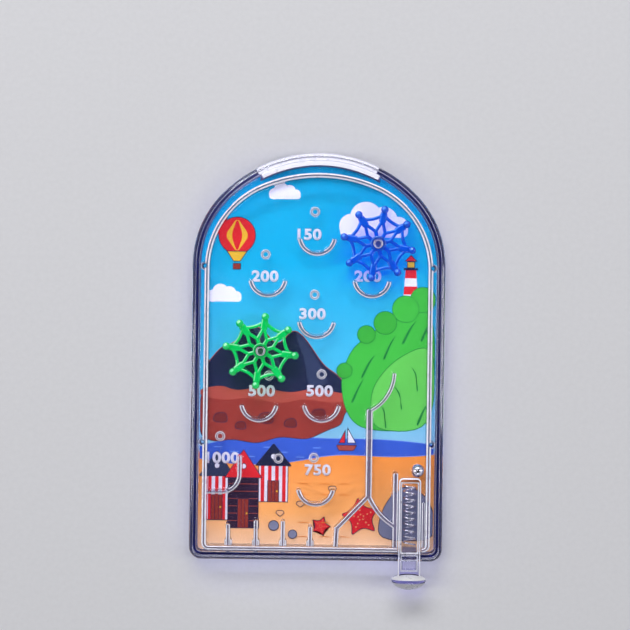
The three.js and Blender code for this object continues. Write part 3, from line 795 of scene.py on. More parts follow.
def wall_loop(bm, path, reach, z):
    """One closed loop round a wall's centre line, at a distance from it."""
    known = set(bm.verts)
    ahead = (path.end - path.start).normalized()
    right = [Vector((ahead.y, -ahead.x))] * 2
    if path.centre:
        right = [(end - path.centre).normalized() for end in (path.start, path.end)]

    def along(at, target, turn):
        return turn_about(bm, at, path.centre, turn) if path.centre else run_to(bm, at, *target)

    first = bm.verts.new((*(path.start + reach * right[0]), z))
    at = along(first, path.end + reach * right[1], path.turn)
    at = turn_about(bm, at, path.end, pi, CAP_STEPS)
    at = along(at, path.start - reach * right[0], -path.turn)
    turn_about(bm, at, path.start, pi, CAP_STEPS)
    merge_new(bm, known)
    return [e for e in bm.edges if e.verts[0] not in known]


def swept_bar(path, section):
    """A bar along a path, closed at both ends of its section of (reach, z) points."""
    return stacked(section, lambda bm, *at: wall_loop(bm, path, *at))


def moulded_wall(path, width, height):
    top = plate_top + height
    edge = min(WALL_EDGE, width / 2 - TOP_HALF)
    rim = arc_points(width / 2 - edge, top - edge, edge, 0, 1)
    return swept_bar(path, foot_fillet(width / 2 + DRAFT) + rim)


print("steps round a wall's end:", CAP_STEPS)

# %% [markdown]
# ## Playfield
# The playfield is one clear moulding: a plate cut to the card's outline, a play wall with its
# own flatter arch, cups that hold the ball, hollow pegs, lane walls and plunger guides. Places
# are written as shares of the play area, across from its middle line and up from its foot.

# %% Plate and play wall
PLAY_HALF, PLAY_TOP, PLAY_FOOT, PLAY_WALL = 34.8, 56.9, -60.35, 1.6
FOOT_EDGE = 0.05


def solid_of(node_name):
    """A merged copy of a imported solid, in millimetres, with its flat faces made whole."""
    bm = bmesh.new()
    bm.from_mesh(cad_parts[node_name].data)
    bmesh.ops.scale(bm, vec=(1 / MM, 1 / MM, 1 / MM), verts=bm.verts)
    bmesh.ops.remove_doubles(bm, verts=bm.verts, dist=2 * SAME_PLACE)
    bmesh.ops.dissolve_limit(bm, angle_limit=FLAT_ANGLE, verts=bm.verts, edges=bm.edges)
    return bm


def place(across, up):
    return Vector((across * PLAY_HALF, PLAY_FOOT + up * (PLAY_TOP - PLAY_FOOT)))


play_arch = arch(PLAY_HALF, PLAY_TOP, PLAY_FOOT, rise_share=0.845, shoulder_share=0.952,
                 corner=0.8)
play_wall = arch_shell(play_arch, [
    (-PLAY_WALL / 2, ring_foot),
    (-PLAY_WALL, ring_foot, FOOT_EDGE),
    (-PLAY_WALL, plate_high.z, WALL_EDGE),
    (-DRAFT, plate_high.z, WALL_EDGE),
    (0, ring_foot, FOOT_EDGE),
    (-PLAY_WALL / 2, ring_foot),
], ring=True)
print("play wall faces:", len(play_wall.faces))

# %% Cups
CUP_RADIUS, CUP_WALL, CUP_HEIGHT, CUP_TURN, CUP_SIDE = 6.3, 1.35, 3.4, 0.422, 5.4

bowl = CUP_RADIUS - CUP_WALL / 2
cups = [(-0.02, 0.843), (-0.468, 0.728), (0.488, 0.729), (-0.017, 0.616), (-0.536, 0.387),
        (0.039, 0.388), (-0.005, 0.159)]
corner_cup = place(-0.868, 0.191)
low_point, side_point = corner_cup - Vector((0, bowl)), corner_cup + Vector((bowl, 0))
cup_lines = [arc_path(place(*at), bowl, 0.75 - CUP_TURN / 2, 0.75 + CUP_TURN / 2) for at in cups]
cup_lines += [
    straight((-PLAY_HALF, low_point.y), low_point),
    arc_path(corner_cup, bowl, 0.75, 1),
    straight(side_point, side_point + Vector((0, CUP_SIDE))),
]
walls = [moulded_wall(line, CUP_WALL, CUP_HEIGHT) for line in cup_lines]
print("cup walls:", len(walls))

# %% Dividers, lane and guides
LANE_HEIGHT = 5.4
DIVIDER_FOOT, DIVIDER_FOOT_UP = 2.3, 0.018
GUIDE_X, OUTER_X = 25.3, PLAY_HALF - 0.5

foot_y = PLAY_FOOT - PLAY_WALL / 2
for at in ((-0.803, 0.053), (-0.549, 0.064), (-0.301, 0.063), (-0.05, 0.049)):
    top_point = place(*at)
    foot_point = Vector((top_point.x, foot_y))
    foot_top = Vector((top_point.x, place(0, DIVIDER_FOOT_UP).y - DIVIDER_FOOT / 2))
    walls += [moulded_wall(straight(foot_point, top_point), 1.25, LANE_HEIGHT),
              moulded_wall(straight(foot_point, foot_top), DIVIDER_FOOT, CUP_HEIGHT)]

# The lane's wall and its bent deflector, its forked foot, and the plunger's two guides.
lane_foot, lane_top, knee = place(0.481, 0.138), place(0.481, 0.368), place(0.192, 0.048)
for line, width in (
    (straight(lane_foot, lane_top), 1.9),
    (bulged(lane_top, place(0.704, 0.469), 1.95), 1.1),
    (straight(lane_foot, knee), 1.45),
    (straight(knee, place(0.183, -0.003)), 1.45),
    (bulged(lane_foot, (GUIDE_X, place(0, 0.055).y), 1.1), 1.45),
    (straight((GUIDE_X, foot_y), (GUIDE_X, place(0, 0.196).y)), 1.6),
    (straight((OUTER_X, foot_y), (OUTER_X, place(0, 0.119).y)), 1.0),
):
    walls.append(moulded_wall(line, width, LANE_HEIGHT))
print("moulded walls:", len(walls))

# %% Pegs, axles and bosses
AXLE_TOP, BOSS_TOP, BOSS_BORE, POST_EDGE = 6.55, plate_top + 5, 0.75, 0.25
SPINDLE_RADIUS, SPINDLE_BORE, SPINDLE_TOP, SPINDLE_FLOOR = 1.5, 0.95, 9.8, 6.8

axles = blue_axle, green_axle = place(0.539, 0.824), place(-0.526, 0.528)
pegs = [place(*at) for at in ((-0.042, 0.909), (-0.492, 0.791), (-0.037, 0.683), (0.037, 0.466),
                              (-0.888, 0.294), (-0.351, 0.235), (-0.025, 0.238))]
pegs.append(Vector((-15.59, -6.29)))
bosses = [Vector((side * (PLAY_HALF + PLAY_WALL), place(0, up).y))
          for side in (-1, 1) for up in (0.279, 0.758)]

posts = bmesh.new()
for centre in pegs:
    hollow_post(posts, centre, radius=1.54, top=plate_top + 3.2, edge=0.34, bore=0.8,
                bore_foot=plate_top + 1)
for centre in axles:
    hollow_post(posts, centre, radius=2.2, top=AXLE_TOP, edge=0.3)
for centre in bosses:
    hollow_post(posts, centre, radius=1.35, top=BOSS_TOP, edge=POST_EDGE)
# The spindles are joined on as parts of their own, sunk a little into the axles.
spindles, sunk = bmesh.new(), AXLE_TOP - 0.2
for centre in axles:
    turned(spindles, centre, [(0, sunk), (SPINDLE_RADIUS, sunk)]
           + rounded_rim(SPINDLE_RADIUS, SPINDLE_BORE, SPINDLE_TOP, POST_EDGE)
           + [(SPINDLE_BORE, SPINDLE_FLOOR), (0, SPINDLE_FLOOR)])
print("posts:", len(pegs) + len(bosses) + len(axles))

# %% Playfield in one piece
BORE_DEPTH = 8
STOP_X, STOP_FOOT_Y, STOP_TOP = (27.75, 32.15), -61.95, 8.45
CROWN_BAND, PEG_REACH = 9, 1.7
RIMS, FLAT_TOPS, FLAT = 1.5, 2.9, 0.96

raised = united([play_wall, outward(posts), outward(spindles)] + walls)
openings = box_of((SLOT_X[0], case_low.y, ring_foot),
                  (SLOT_X[1], PLAY_FOOT + PAST, plate_high.z + PAST))
for centre in bosses:
    bore = bmesh.ops.create_cone(openings, segments=POST_SIDES, radius1=BOSS_BORE,
                                 radius2=BOSS_BORE, depth=BORE_DEPTH, cap_ends=True)
    bmesh.ops.translate(openings, verts=bore["verts"],
                        vec=(*centre, plate_top + 1 + BORE_DEPTH / 2))
raised = joined(raised, openings, "DIFFERENCE")
plate = solid_of("picture_card")
stretch = PLATE_THICKNESS / (card_high.z - card_low.z)
bmesh.ops.scale(plate, verts=plate.verts, vec=(1, 1, stretch))
moved(plate, (0, 0, plate_low.z - min(v.co.z for v in plate.verts)))
playfield = joined(plate, raised, "UNION")
spring_stop = box_of((STOP_X[0], STOP_FOOT_Y, ring_foot), (STOP_X[1], PLAY_FOOT, STOP_TOP))
playfield = joined(playfield, spring_stop, "UNION")


def playfield_rule(at, normal):
    """Painted sheen (2) on flat tops. Painted highlights (1) on rims on the near side, at pegs and
    crown all over.
    """
    height = at.z - plate_top
    if height > FLAT_TOPS and normal.z > FLAT:
        return 2
    near = normal.y < 0.5 or at.y > PLAY_TOP - CROWN_BAND
    return (height > RIMS and UPWARD < normal.z < FLAT
            and (near or any((at.xy - centre).length < PEG_REACH for centre in pegs)))


# Painted highlights on the rims and painted sheen on the flat tops.
place_painted_light(playfield, playfield_rule)
finish_piece("playfield", playfield, [playfield_plastic, rim_painted_highlight, top_painted_sheen], "housing",
             "playfield_plate")

# %% [markdown]
# ## Cover
# The front half is the tray's counterpart, with the lens for its floor. Two sleeves under the
# lens keep the spinners on their spindles, and four pins stand in the playfield's bosses.

# %% Cover
LIP_GAP, PARTING_GAP = 0.15, 0.1
SLEEVE_BORE, SLEEVE_RADIUS, SLEEVE_GAP = 1.6, 2.2, 0.1
PIN_RADIUS, PIN_DEPTH, CHAMFER = 0.6, 1.6, 0.15

_, cover_high = box_mm("front_cover")
lens_under = cover_high.z - LENS
cover_foot = rim_z + PARTING_GAP
step_z = case_high.z + LIP_GAP
step_in = WALL - LIP - LIP_GAP

cover = arch_shell(case_arch, [
    (WALL + 1, lens_under),
    (WALL, lens_under, SMALL_EDGE),
    (WALL, step_z, SMALL_EDGE / 2),
    (step_in, step_z, SMALL_EDGE),
    (step_in, cover_foot, SMALL_EDGE),
    (0, cover_foot, SMALL_EDGE),
    (0, cover_high.z, CASE_EDGE),
    (WALL + 1, cover_high.z),
])
cover = joined(cover, box_of(slot_low, slot_high), "DIFFERENCE")
keepers = bmesh.new()
into_lens = lens_under + LENS / 2


def outer_side(radius, foot):
    return [(0, into_lens), (radius, into_lens), (radius, foot + CHAMFER),
            (radius - CHAMFER, foot)]


sleeve_foot = SPINDLE_TOP + SLEEVE_GAP
for centre in axles:
    turned(keepers, centre, outer_side(SLEEVE_RADIUS, sleeve_foot) + [
        (SLEEVE_BORE + CHAMFER, sleeve_foot), (SLEEVE_BORE, sleeve_foot + CHAMFER),
        (SLEEVE_BORE, lens_under), (0, lens_under)])
pin_foot = BOSS_TOP - PIN_DEPTH
for centre in bosses:
    turned(keepers, centre, outer_side(PIN_RADIUS, pin_foot) + [(0, pin_foot)])
cover = joined(cover, outward(keepers), "UNION")
finish_piece("case_front", cover, [case_plastic], "housing", "front_cover")

# %% [markdown]
# ## Star spinners
# Each spinner is one moulding with eight arms. Spokes carry a star of struts that zigzags
# between the arms, and thin webs tie the arms' necks together. Every strut is a short bar with
# rounded edges. One eighth of the spinner is made, turned on to the next arm, and so on, and
# the finished spinner is turned and set on its axle.

# %% One spinner
ARMS = 8
TIP_CIRCLE, TIP_RADIUS = 11.05, 1.22
HUB_BASE, HUB_TOP, HUB_RADIUS, HUB_EDGE = 6.7, 9.7, 2.6, 0.25
ARM_BASE, ARM_TOP = 7.15, 8.35
# Shares of the tip circle at which an arm's parts begin and end.
SPOKE_IN, SPOKE_OUT, NECK_IN, NECK_OUT = 0.18, 0.36, 0.68, 0.86
NECK_EDGE = 0.5
PIN_FOOT = plate_top + 0.9
PIN_PROFILE = [(0, PIN_FOOT), (0.55, PIN_FOOT), (0.73, PIN_FOOT + 0.18), (0.85, ARM_TOP),
               (0, ARM_TOP)]


def strut(path, width, edge=0.35, inset=0):
    half, low, high = width / 2 - edge, ARM_BASE + inset + edge, ARM_TOP - inset - edge
    return swept_bar(path, arc_points(half, low, edge, -1, 0, 3)
                     + arc_points(half, high, edge, 0, 1, 3))


def spinner():
    parts = []
    for arm in range(ARMS):
        turn, half_step = arm / ARMS, 0.5 / ARMS
        neck, neck_end, tip = (on_circle(TIP_CIRCLE * at, turn) for at in (NECK_IN, NECK_OUT, 1))
        before, after = (on_circle(TIP_CIRCLE * SPOKE_OUT, turn + side * half_step)
                         for side in (-1, 1))
        next_end = on_circle(TIP_CIRCLE * NECK_OUT, (arm + 1) / ARMS)
        spoke_start = on_circle(TIP_CIRCLE * SPOKE_IN, turn + half_step)
        ball, pin = bmesh.new(), bmesh.new()
        bmesh.ops.create_uvsphere(ball, u_segments=24, v_segments=16, radius=TIP_RADIUS)
        turned(pin, tip, PIN_PROFILE)
        parts += [
            strut(straight(before, neck), width=1.05),
            strut(straight(after, neck), width=1.05),
            strut(straight(spoke_start, after), width=1.25),
            strut(straight(neck, neck_end), width=2.3, edge=NECK_EDGE),
            strut(straight(neck, tip), width=1.75, edge=NECK_EDGE),
            strut(bulged(next_end, neck_end, bulge=0.75), width=1.05, inset=0.15),
            moved(ball, (*tip, ARM_TOP)),
            outward(pin),
        ]
    hub = bmesh.new()
    foot = [(0, HUB_BASE), (HUB_RADIUS - CHAMFER, HUB_BASE), (HUB_RADIUS, HUB_BASE + CHAMFER)]
    turned(hub, (0, 0), foot + rounded_rim(HUB_RADIUS - DRAFT, 0, HUB_TOP, HUB_EDGE))
    whole = united([outward(hub)] + parts)
    bore = bmesh.new()
    bmesh.ops.create_cone(bore, segments=POST_SIDES, radius1=SLEEVE_BORE, radius2=SLEEVE_BORE,
                          depth=20, cap_ends=True)
    return joined(whole, bore, "DIFFERENCE")


# %% Both spinners
GLINT = Vector((-0.3, 0.4, 0.87))
GLINT_SPREAD = 0.9

star_mesh = mesh_of(spinner(), "star")
for colour, axle, turn, plastics, body in (
    ("blue", blue_axle, 0.221, [blue_plastic, blue_painted_highlight], "upper_star"),
    ("green", green_axle, 0.23, [green_plastic, green_painted_highlight], "lower_star"),
):
    bm = bmesh.new()
    bm.from_mesh(star_mesh)
    bmesh.ops.rotate(bm, verts=bm.verts, matrix=Matrix.Rotation(tau * turn, 3, "Z"))
    moved(bm, (*axle, 0))
    # Painted highlight: upper edges that face the glint direction take the paler dye.
    place_painted_light(bm, lambda at, normal: at.z > ARM_TOP - RIM_BAND and normal.z < LEVEL
          and normal.dot(GLINT) > GLINT_SPREAD)
    finish_piece(f"{colour}_star", bm, plastics, body, f"{colour}_spinner")
bpy.data.meshes.remove(star_mesh)

# %% [markdown]
# ## Ball and spring
# The ball is a bearing ball, drawn as a fine sphere. The spring is one wire, so it is made the
# way a spring is wound: a small circle, the wire's section, is spun about the spring's axis and
# carried along it at the same time.

# %% Steel ball
ball_low, ball_high = box_mm("steel_ball")
bm = bmesh.new()
bmesh.ops.create_uvsphere(bm, u_segments=48, v_segments=24, radius=(ball_high.x - ball_low.x) / 2)
finish_piece("bearing_ball", moved(bm, (ball_low + ball_high) / 2), [ball_steel], "ball",
             "steel_ball")

# %% Spring
WIRE = 0.5
CURLS = 9.5
WIRE_SIDES = 10
STEPS_PER_CURL = 24

spring_low, spring_high = box_mm("plunger_spring")
spring_middle = (spring_low + spring_high) / 2
spring_length = spring_high.y - spring_low.y
coil_radius = (spring_high.x - spring_low.x - WIRE) / 2
bm = bmesh.new()
bmesh.ops.create_circle(bm, segments=WIRE_SIDES, radius=WIRE / 2)
moved(bm, (spring_middle.x + coil_radius, spring_low.y + WIRE / 2, spring_middle.z))
steps = round(CURLS * STEPS_PER_CURL)
first = bm.edges[:]
wound = bmesh.ops.spin(bm, geom=bm.verts[:] + first, cent=spring_middle, axis=(0, -1, 0),
                       angle=CURLS * tau, dvec=(0, (spring_length - WIRE) / steps, 0),
                       steps=steps, use_merge=False)
last = [g for g in wound["geom_last"] if isinstance(g, bmesh.types.BMEdge)]
for end in (first, last):
    bmesh.ops.contextual_create(bm, geom=end)
spring = finish_piece("launch_spring", outward(bm), [wire_steel], "housing",
                      "plunger_spring")
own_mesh(spring)

# %% [markdown]
# ## The printed card
# The card is coated board with a seaside picture. Its thin coating gives full colours with only
# a faint sheen under the plastic. The picture is drawn the way it is printed: flat areas of
# ink, each a little above the last, so that later inks cover earlier ones.

# %% Board
SKY_TO_SAND = ((0.0, "#ffd4a4"), (0.1, "#ffb464"), (0.25, "#ff9c40"), (0.26, "#98cfe2"),
               (0.45, "#4cc4e2"), (0.75, "#00b6dc"), (1.0, "#00b0d8"))


def coated_print(material, colour):
    """Offset print on coated board: ink mottle in the colour, a satin sheen and paper grain."""
    body = node(material, "BsdfPrincipled", {
        "Base Color": node(material, "HueSaturation", {
            "Color": colour, "Value": grain(material, 0.5, 0.95, 1.05),
        }),
        "Roughness": grain(material, 2, 0.38, 0.52),
        "Specular IOR Level": 0.15,
        "Normal": relief(material, 0.25, 0.004),
    })
    node(material, "OutputMaterial", {"Surface": body})
    return material


board_print = new_material("printed_coated_board")
spot = node(board_print, "SeparateXYZ", {"Vector": node(board_print, "TexCoord").outputs["Object"]})
rise = node(board_print, "MapRange", {
    "Value": spot.outputs["Y"], "From Min": card_low.y * MM, "From Max": card_high.y * MM,
})
coated_print(board_print, node(board_print, "ValToRGB", {"Fac": rise}, stops=SKY_TO_SAND))
finish_piece("picture_board", solid_of("picture_card"), [board_print], "housing",
             "picture_card")

# %% [markdown]
# ## Drawing with ink
# One mesh holds the whole picture. Each area of ink is a few corner points made into a face.
# Bevelling its corner vertices rounds the drawing, and insetting the face leaves a rim that
# takes the outline's ink. A thin Solidify gives every area the thickness of a printed film.

# %% Inks and the drawing function
OUTLINE, DISC_SIDES = 0.22, 40
INK_FILM, INK_START, INK_STEP = 0.0012, 0.004, 0.002
INKS = {
    "white": "#fbfbff", "navy": "#1d2746", "slate": "#34405f", "brown": "#a03c30",
    "rust": "#bb5444", "green": "#46c544", "leaf": "#6bd458", "dark_green": "#1f8a3c",
    "red": "#f02c34", "plum": "#35233c", "sand": "#ffc080", "shade": "#7c2c28",
    "grey": "#8a90a4", "sun": "#ffd23c", "dune": "#f08c30", "sea": "#3a62c8",
    "sea_light": "#6f9be4", "line": "#2c2a48",
}

picture = bmesh.new()
ink_names = list(INKS)
ink_materials = [coated_print(new_material(f"{name}_ink"), INKS[name]) for name in INKS]
levels = {"next": 0}


def next_level():
    levels["next"] += 1
    return card_high.z + INK_START + INK_STEP * levels["next"]


def paint(known, fill, line=None):
    """Colours every face that isn't known yet, after a rim in the outline's ink."""
    picture.normal_update()
    area = [f for f in picture.faces if f not in known]
    rim = bmesh.ops.inset_individual(picture, faces=area if line else [], thickness=OUTLINE,
                                     use_even_offset=True)["faces"]
    for faces, name in ((rim, line), (area, fill)):
        for face in faces:
            face.material_index = ink_names.index(name)
            if face.normal.z < 0:
                face.normal_flip()


def ink(corners, fill, line=None, rounding=0, soft=0):
    """One area of ink. Rounding bevels its corners, and soft smooths its whole outline."""
    known = set(picture.faces)
    z = next_level()
    verts = [picture.verts.new((x, y, z)) for x, y in corners]
    area = picture.faces.new(verts)
    if rounding:
        bmesh.ops.bevel(picture, geom=verts, offset=rounding, offset_type="OFFSET", segments=6,
                        profile=0.5, affect="VERTICES", clamp_overlap=True, material=-1)
    if soft:
        bmesh.ops.subdivide_edges(picture, edges=area.edges[:], cuts=5)
        outline = next(f for f in picture.faces if f not in known).verts[:]
        for _ in range(soft):
            bmesh.ops.smooth_vert(picture, verts=outline, factor=0.5, use_axis_x=True,
                                  use_axis_y=True)
    paint(known, fill, line)


def from_point(x, y, points):
    return [(x + across, y + up) for across, up in points]


def ink_disc(x, y, radius, fill, line=None):
    ring = [on_circle(radius, i / DISC_SIDES) for i in range(DISC_SIDES)]
    ink(from_point(x, y, ring), fill, line)


def box_points(left, bottom, right, top):
    return [(left, bottom), (right, bottom), (right, top), (left, top)]


print("inks:", ", ".join(ink_names))

# %% [markdown]
# ## The seaside picture
# Sky and sand are the board's own gradient. Over them go clouds, the sea with a rocky island,
# a lighthouse above green hills, a row of beach huts, a balloon and things found on the sand.
# The points are millimetres on the card, from the toy's middle.

# %% Clouds and island
def cloud(x, y, size):
    for across, up, radius in ((-1.5, 0, 0.75), (-0.6, 0.5, 1.0), (0.5, 0.35, 0.85), (1.4, 0, 0.6)):
        ink_disc(x + across * size, y + up * size, radius * size, "white")
    ink(box_points(x - 2.2 * size, y - 0.7 * size, x + 2 * size, y + 0.2 * size), "white",
        rounding=0.4 * size)


for at in ((18, 42, 5.2), (-11, 52, 2.4), (-30, 19, 2.6)):
    cloud(*at)

edge = card_high.x
ink([(-edge - 4, -30), (-20, -24.5), (0, -26.5), (20, -26), (edge + 4, -28), (edge + 4, -31),
     (24, -32.5), (6, -31), (-8, -34.5), (-24, -35.5), (-edge - 4, -33)],
    "sea", "sea_light", soft=10)
ink([(-edge, -13), (-36, -3), (-31, 3), (-27, 4), (-22, 10), (-18, 9), (-13, 3), (-8, 9),
     (-4, 6), (2, -3), (7, -6), (12, -13)], "navy", "rust", soft=5)
for points in ([(-21.5, 9.6), (-18.2, 8.6), (-14, 3), (-11, -6), (-17, -9), (-15, -2)],
               [(-7.8, 8.4), (-4.4, 5.6), (1, -3), (4, -9), (-3, -10), (-4, -2)]):
    ink(points, "slate", soft=3)
ink([(-edge, -11.5), (-31, -10), (-26, -12), (-18, -10.5), (-9, -12.5), (0, -10.5), (8, -12.5),
     (14, -11), (12, -16), (9, -18), (8, -22), (3, -24), (-3, -27), (-12, -26), (-19, -28.5),
     (-27, -27), (-33, -28), (-edge, -26)], "brown", "line", soft=4)
ink([(-edge, -11), (-31, -9.6), (-26, -11.4), (-18, -10), (-9, -12), (0, -10), (8, -12),
     (14, -10.6), (11, -14), (4, -15), (-4, -13.6), (-12, -15.4), (-22, -13.4), (-30, -14.6),
     (-edge, -13)], "rust", soft=4)
for x, y, size in ((-31, -20, 1.9), (-24.5, -22.5, 1.5), (-16.5, -20, 2.1), (-8.5, -21.5, 1.7),
                   (0.5, -18.5, 1.9)):
    hollow = [(-1.5 * size, -0.8 * size), (1.4 * size, -size), (size, size), (-size, 0.8 * size)]
    ink(from_point(x, y, hollow), "shade", "line", soft=6)
print("areas of ink:", levels["next"])

# %% Lighthouse, hills and boat
TOWER_X, TOWER_FOOT, TOWER_TOP, TOWER_BANDS = 29.5, 15, 28, 5
TOWER_HALF, TOWER_TAPER = 2.6, 0.9
for i in range(TOWER_BANDS):
    (low_half, base), (high_half, top) = (
        (TOWER_HALF - TOWER_TAPER * share, TOWER_FOOT + (TOWER_TOP - TOWER_FOOT) * share)
        for share in (i / TOWER_BANDS, (i + 1) / TOWER_BANDS))
    band = [(-low_half, base), (low_half, base), (high_half, top), (-high_half, top)]
    ink(from_point(TOWER_X, 0, band), "white" if i % 2 else "red")
for points, fill, line in ((box_points(-2.3, 0, 2.3, 0.7), "navy", None),
                           (box_points(-1.3, 0.7, 1.3, 2.8), "sun", "navy"),
                           ([(-2.1, 2.8), (2.1, 2.8), (0, 5)], "red", "line")):
    ink(from_point(TOWER_X, TOWER_TOP, points), fill, line)

ink([(edge, -24), (edge, 15), (31, 17), (24, 12), (17, 8), (10, 2), (7, -8), (9, -18),
     (14, -24)], "green", "dark_green", soft=8)
ink([(edge, -24), (edge, 4), (31, 3), (23, -2), (17, -10), (17, -20), (20, -24)],
    "leaf", "dark_green", soft=8)
for x, y, lean in ((34, 10, 2), (28, 9, 2.5), (22, 4, 2), (15, -2, 2.5), (12, -10, 2),
                   (33, -6, -2), (28, -12, -2.5), (23, -18, -2), (33, -17, 2)):
    furrow = [(-0.5, -5), (lean * 0.7, 0), (lean * 1.6, 3.5), (lean * 0.5, 0.5), (-1.3, -4.6)]
    ink(from_point(x, y, furrow), "dark_green", soft=4)
for x, y, radius in ((33.5, 18.5, 4.2), (28, 15.5, 4.4), (21.5, 11, 3.8), (15.5, 7.2, 3.0),
                     (8.6, -4.5, 2.6)):
    ink_disc(x, y, radius, "green", "dark_green")

BOAT = (9.5, -29.5)
hull = [(-3.4, 1.2), (3.6, 1.2), (2.4, -0.8), (-2.4, -0.8)]
ink(from_point(*BOAT, hull), "rust", "line", rounding=0.5)
ink(from_point(*BOAT, [(0.3, 1.7), (3.2, 1.7), (0.3, 7)]), "white", "line")
ink(from_point(*BOAT, [(-0.3, 1.7), (-0.3, 6.2), (-2.6, 1.7)]), "red", "line")
for i in range(7):
    wave = box_points(0, 0, 2.6, 0.35)
    ink(from_point(-33 + 5.3 * i, -29.6 - 1.5 * (i % 3), wave), "sea_light", rounding=0.16)
print("areas of ink:", levels["next"])

# %% Beach huts
BOARDS, STRIPES = 7, 4
EAVES, ROOF_LAP = 1.2, 0.4
DOOR_HALF, DOOR_SHARE, DOOR_LINE = 1.9, 0.58, 0.08


def beach_hut(left, right, foot, eaves, ridge, wall, roof, stripe=None):
    ink(box_points(left, foot, right, eaves), wall, "line")
    if stripe:
        pitch = (right - left - 2 * OUTLINE) / (2 * STRIPES)
        for i in range(STRIPES):
            x = left + OUTLINE + (2 * i + 0.5) * pitch
            ink(box_points(x, foot + OUTLINE, x + pitch, eaves), stripe)
    else:
        for i in range(1, BOARDS):
            y = foot + (eaves - foot) * i / BOARDS
            ink(box_points(left + OUTLINE, y, right - OUTLINE, y + 0.18), "rust")
    middle = (left + right) / 2
    ink([(left - EAVES, eaves - ROOF_LAP), (right + EAVES, eaves - ROOF_LAP), (middle, ridge)],
        roof, "line", rounding=0.5)
    ink_disc(middle, eaves + 0.38 * (ridge - eaves), 1.0, "white", "line")
    door_top = foot + DOOR_SHARE * (eaves - foot)
    ink(box_points(middle - DOOR_HALF, foot, middle + DOOR_HALF, door_top), "brown", "line")
    for share in (0.35, 0.65):
        x = middle + DOOR_HALF * (2 * share - 1)
        ink(box_points(x - DOOR_LINE, foot + 0.3, x + DOOR_LINE, door_top - 0.3), "line")
    ink_disc(middle + 1.2, (foot + door_top) / 2, 0.28, "sun")


beach_hut(-18.6, -9.0, -47, -35, -28, "white", "navy", "red")
beach_hut(-36.6, -27.2, -53, -38.5, -30.5, "red", "slate", "white")
beach_hut(-28.4, -18.4, -55.5, -39, -30, "plum", "red")
print("areas of ink:", levels["next"])

# %% Balloon and things on the sand
BALLOON, BALLOON_RADIUS = (-26.4, 38.5), 6.0
ink_disc(*BALLOON, BALLOON_RADIUS, "red", "line")
for half, colour in ((3.9, "sun"), (1.9, "red")):
    stripe = [(-half, 0), (0, 0.4 - BALLOON_RADIUS), (half, 0), (0, BALLOON_RADIUS - 0.3)]
    ink(from_point(*BALLOON, stripe), colour, rounding=1.6)
skirt = [(-3.4, -5), (3.4, -5), (1.1, -8.4), (-1.1, -8.4)]
ink(from_point(*BALLOON, skirt), "sun", "line")
ink(from_point(*BALLOON, box_points(-1.3, -11, 1.3, -8.9)), "brown", "line", rounding=0.3)


def starfish(x, y, size, turn):
    middle = Vector((x, y))
    tips = [on_circle(size if i % 2 == 0 else 0.38 * size, turn / 360 + i / 10)
            for i in range(10)]
    ink([middle + tip for tip in tips], "red", "line", soft=8)
    for tip in tips[::2]:
        for share in (0.12, 0.3, 0.46):
            ink_disc(*(middle + share * tip), 0.03 * size, "sand")


ink([(19, -59), (21, -49), (25, -43), (29, -41), (34, -43), (38, -49), (39, -59)], "grey",
    "line", soft=6)
starfish(14.5, -51.5, 7.6, 100)
starfish(1.6, -54.5, 4.0, 70)
for y in (-41, -44.5, -53.5, -58):
    for x in (-4, 3, 9):
        ink(from_point(x, y, [(-2.6, 0), (0, 0.35), (2.6, -0.1), (0, 0.05)]), "dune", soft=3)
for x, y, radius in ((-13.5, -54.5, 1.7), (-7.4, -57.2, 1.5)):
    ink_disc(x, y, radius, "grey", "line")
shell = [(-1.5, 0), (0, -1.2), (1.5, 0), (0.9, 1), (-0.9, 1)]
for x, y in ((-5, -47.5), (5.2, -42.5), (-11.5, -50.5)):
    ink(from_point(x, y, shell), "sand", "line", rounding=0.3)
print("areas of ink:", levels["next"])

# %% [markdown]
# ## Score numbers
# Each cup has its score printed above it in a plain bold face. A text object gives the shapes,
# a small offset makes them bold, and its mesh joins the picture as one more ink. Then the
# picture is trimmed to the card.

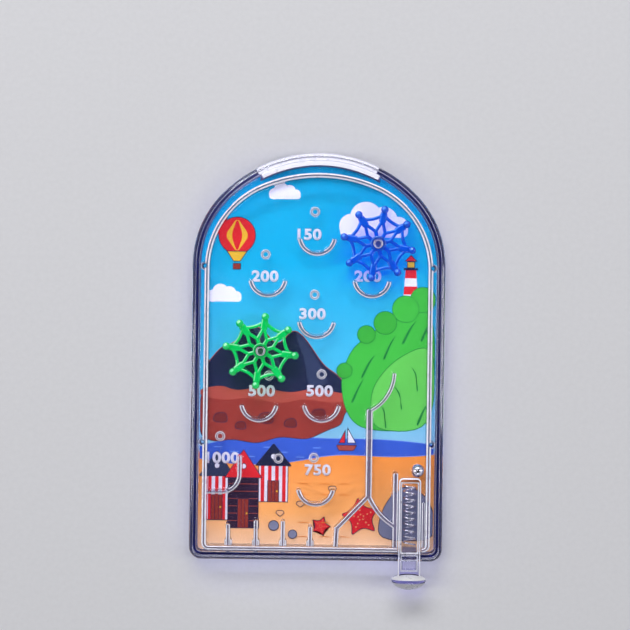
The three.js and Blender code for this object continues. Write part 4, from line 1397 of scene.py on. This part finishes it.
# %% Numbers
NUMBER_HEIGHT, NUMBER_WIDTH, NUMBER_BOLD, NUMBER_SPACING = 3.7, 1.14, 0.04, 1.08
numbers = [("150", -3.2, 39.1), ("200", -17.3, 25.5), ("200", 15.7, 25.9), ("300", -1.9, 13.6),
           ("500", -17.9, -11.3), ("500", 0.7, -11.1), ("750", 0.4, -36.5),
           ("1000", -30.1, -32.9)]


def print_number(text, x, y):
    curve = bpy.data.curves.new("score", "FONT")
    curve.body = text
    curve.align_x = "CENTER"
    curve.align_y = "CENTER"
    curve.offset = NUMBER_BOLD
    curve.space_character = NUMBER_SPACING
    source = object_of("score", curve)
    bpy.context.view_layer.update()
    scale = NUMBER_HEIGHT / source.dimensions.y
    depsgraph = bpy.context.evaluated_depsgraph_get()
    mesh = bpy.data.meshes.new_from_object(source.evaluated_get(depsgraph))
    middle = sum((Vector(c) for c in source.bound_box), Vector()) / 8
    size = Matrix.Diagonal((scale * NUMBER_WIDTH, scale, scale, 1))
    spot = Matrix.Translation((x, y, next_level()))
    mesh.transform(spot @ size @ Matrix.Translation(-middle))
    known = set(picture.faces)
    picture.from_mesh(mesh)
    bpy.data.objects.remove(source)
    paint(known, "white")


for number in numbers:
    print_number(*number)
print("numbers printed:", len(numbers))

# %% Picture trimmed and finished
CARD_MARGIN = 0.3

for limit, across, up in ((card_low.x, -1, 0), (card_high.x, 1, 0), (card_low.y, 0, -1),
                          (card_high.y, 0, 1)):
    inset = limit - CARD_MARGIN * (across + up)
    bmesh.ops.bisect_plane(picture, geom=picture.verts[:] + picture.edges[:] + picture.faces[:],
                           plane_co=(inset * abs(across), inset * abs(up), 0),
                           plane_no=(across, up, 0), clear_outer=True)
seaside = finish_piece("seaside_print", picture, ink_materials, "housing",
                       printed=True)
film = seaside.modifiers.new("ink_film", "SOLIDIFY")
film.thickness = INK_FILM * MM
film.offset = 0
print("highest ink above the board in mm:", round(INK_START + INK_STEP * levels["next"], 3))

# %% [markdown]
# ## Closing
# The size of the dressed toy is printed.

# %% Sizes and finish
low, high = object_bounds()
print("dressed size in mm:", [round(v / MM, 2) for v in high - low])
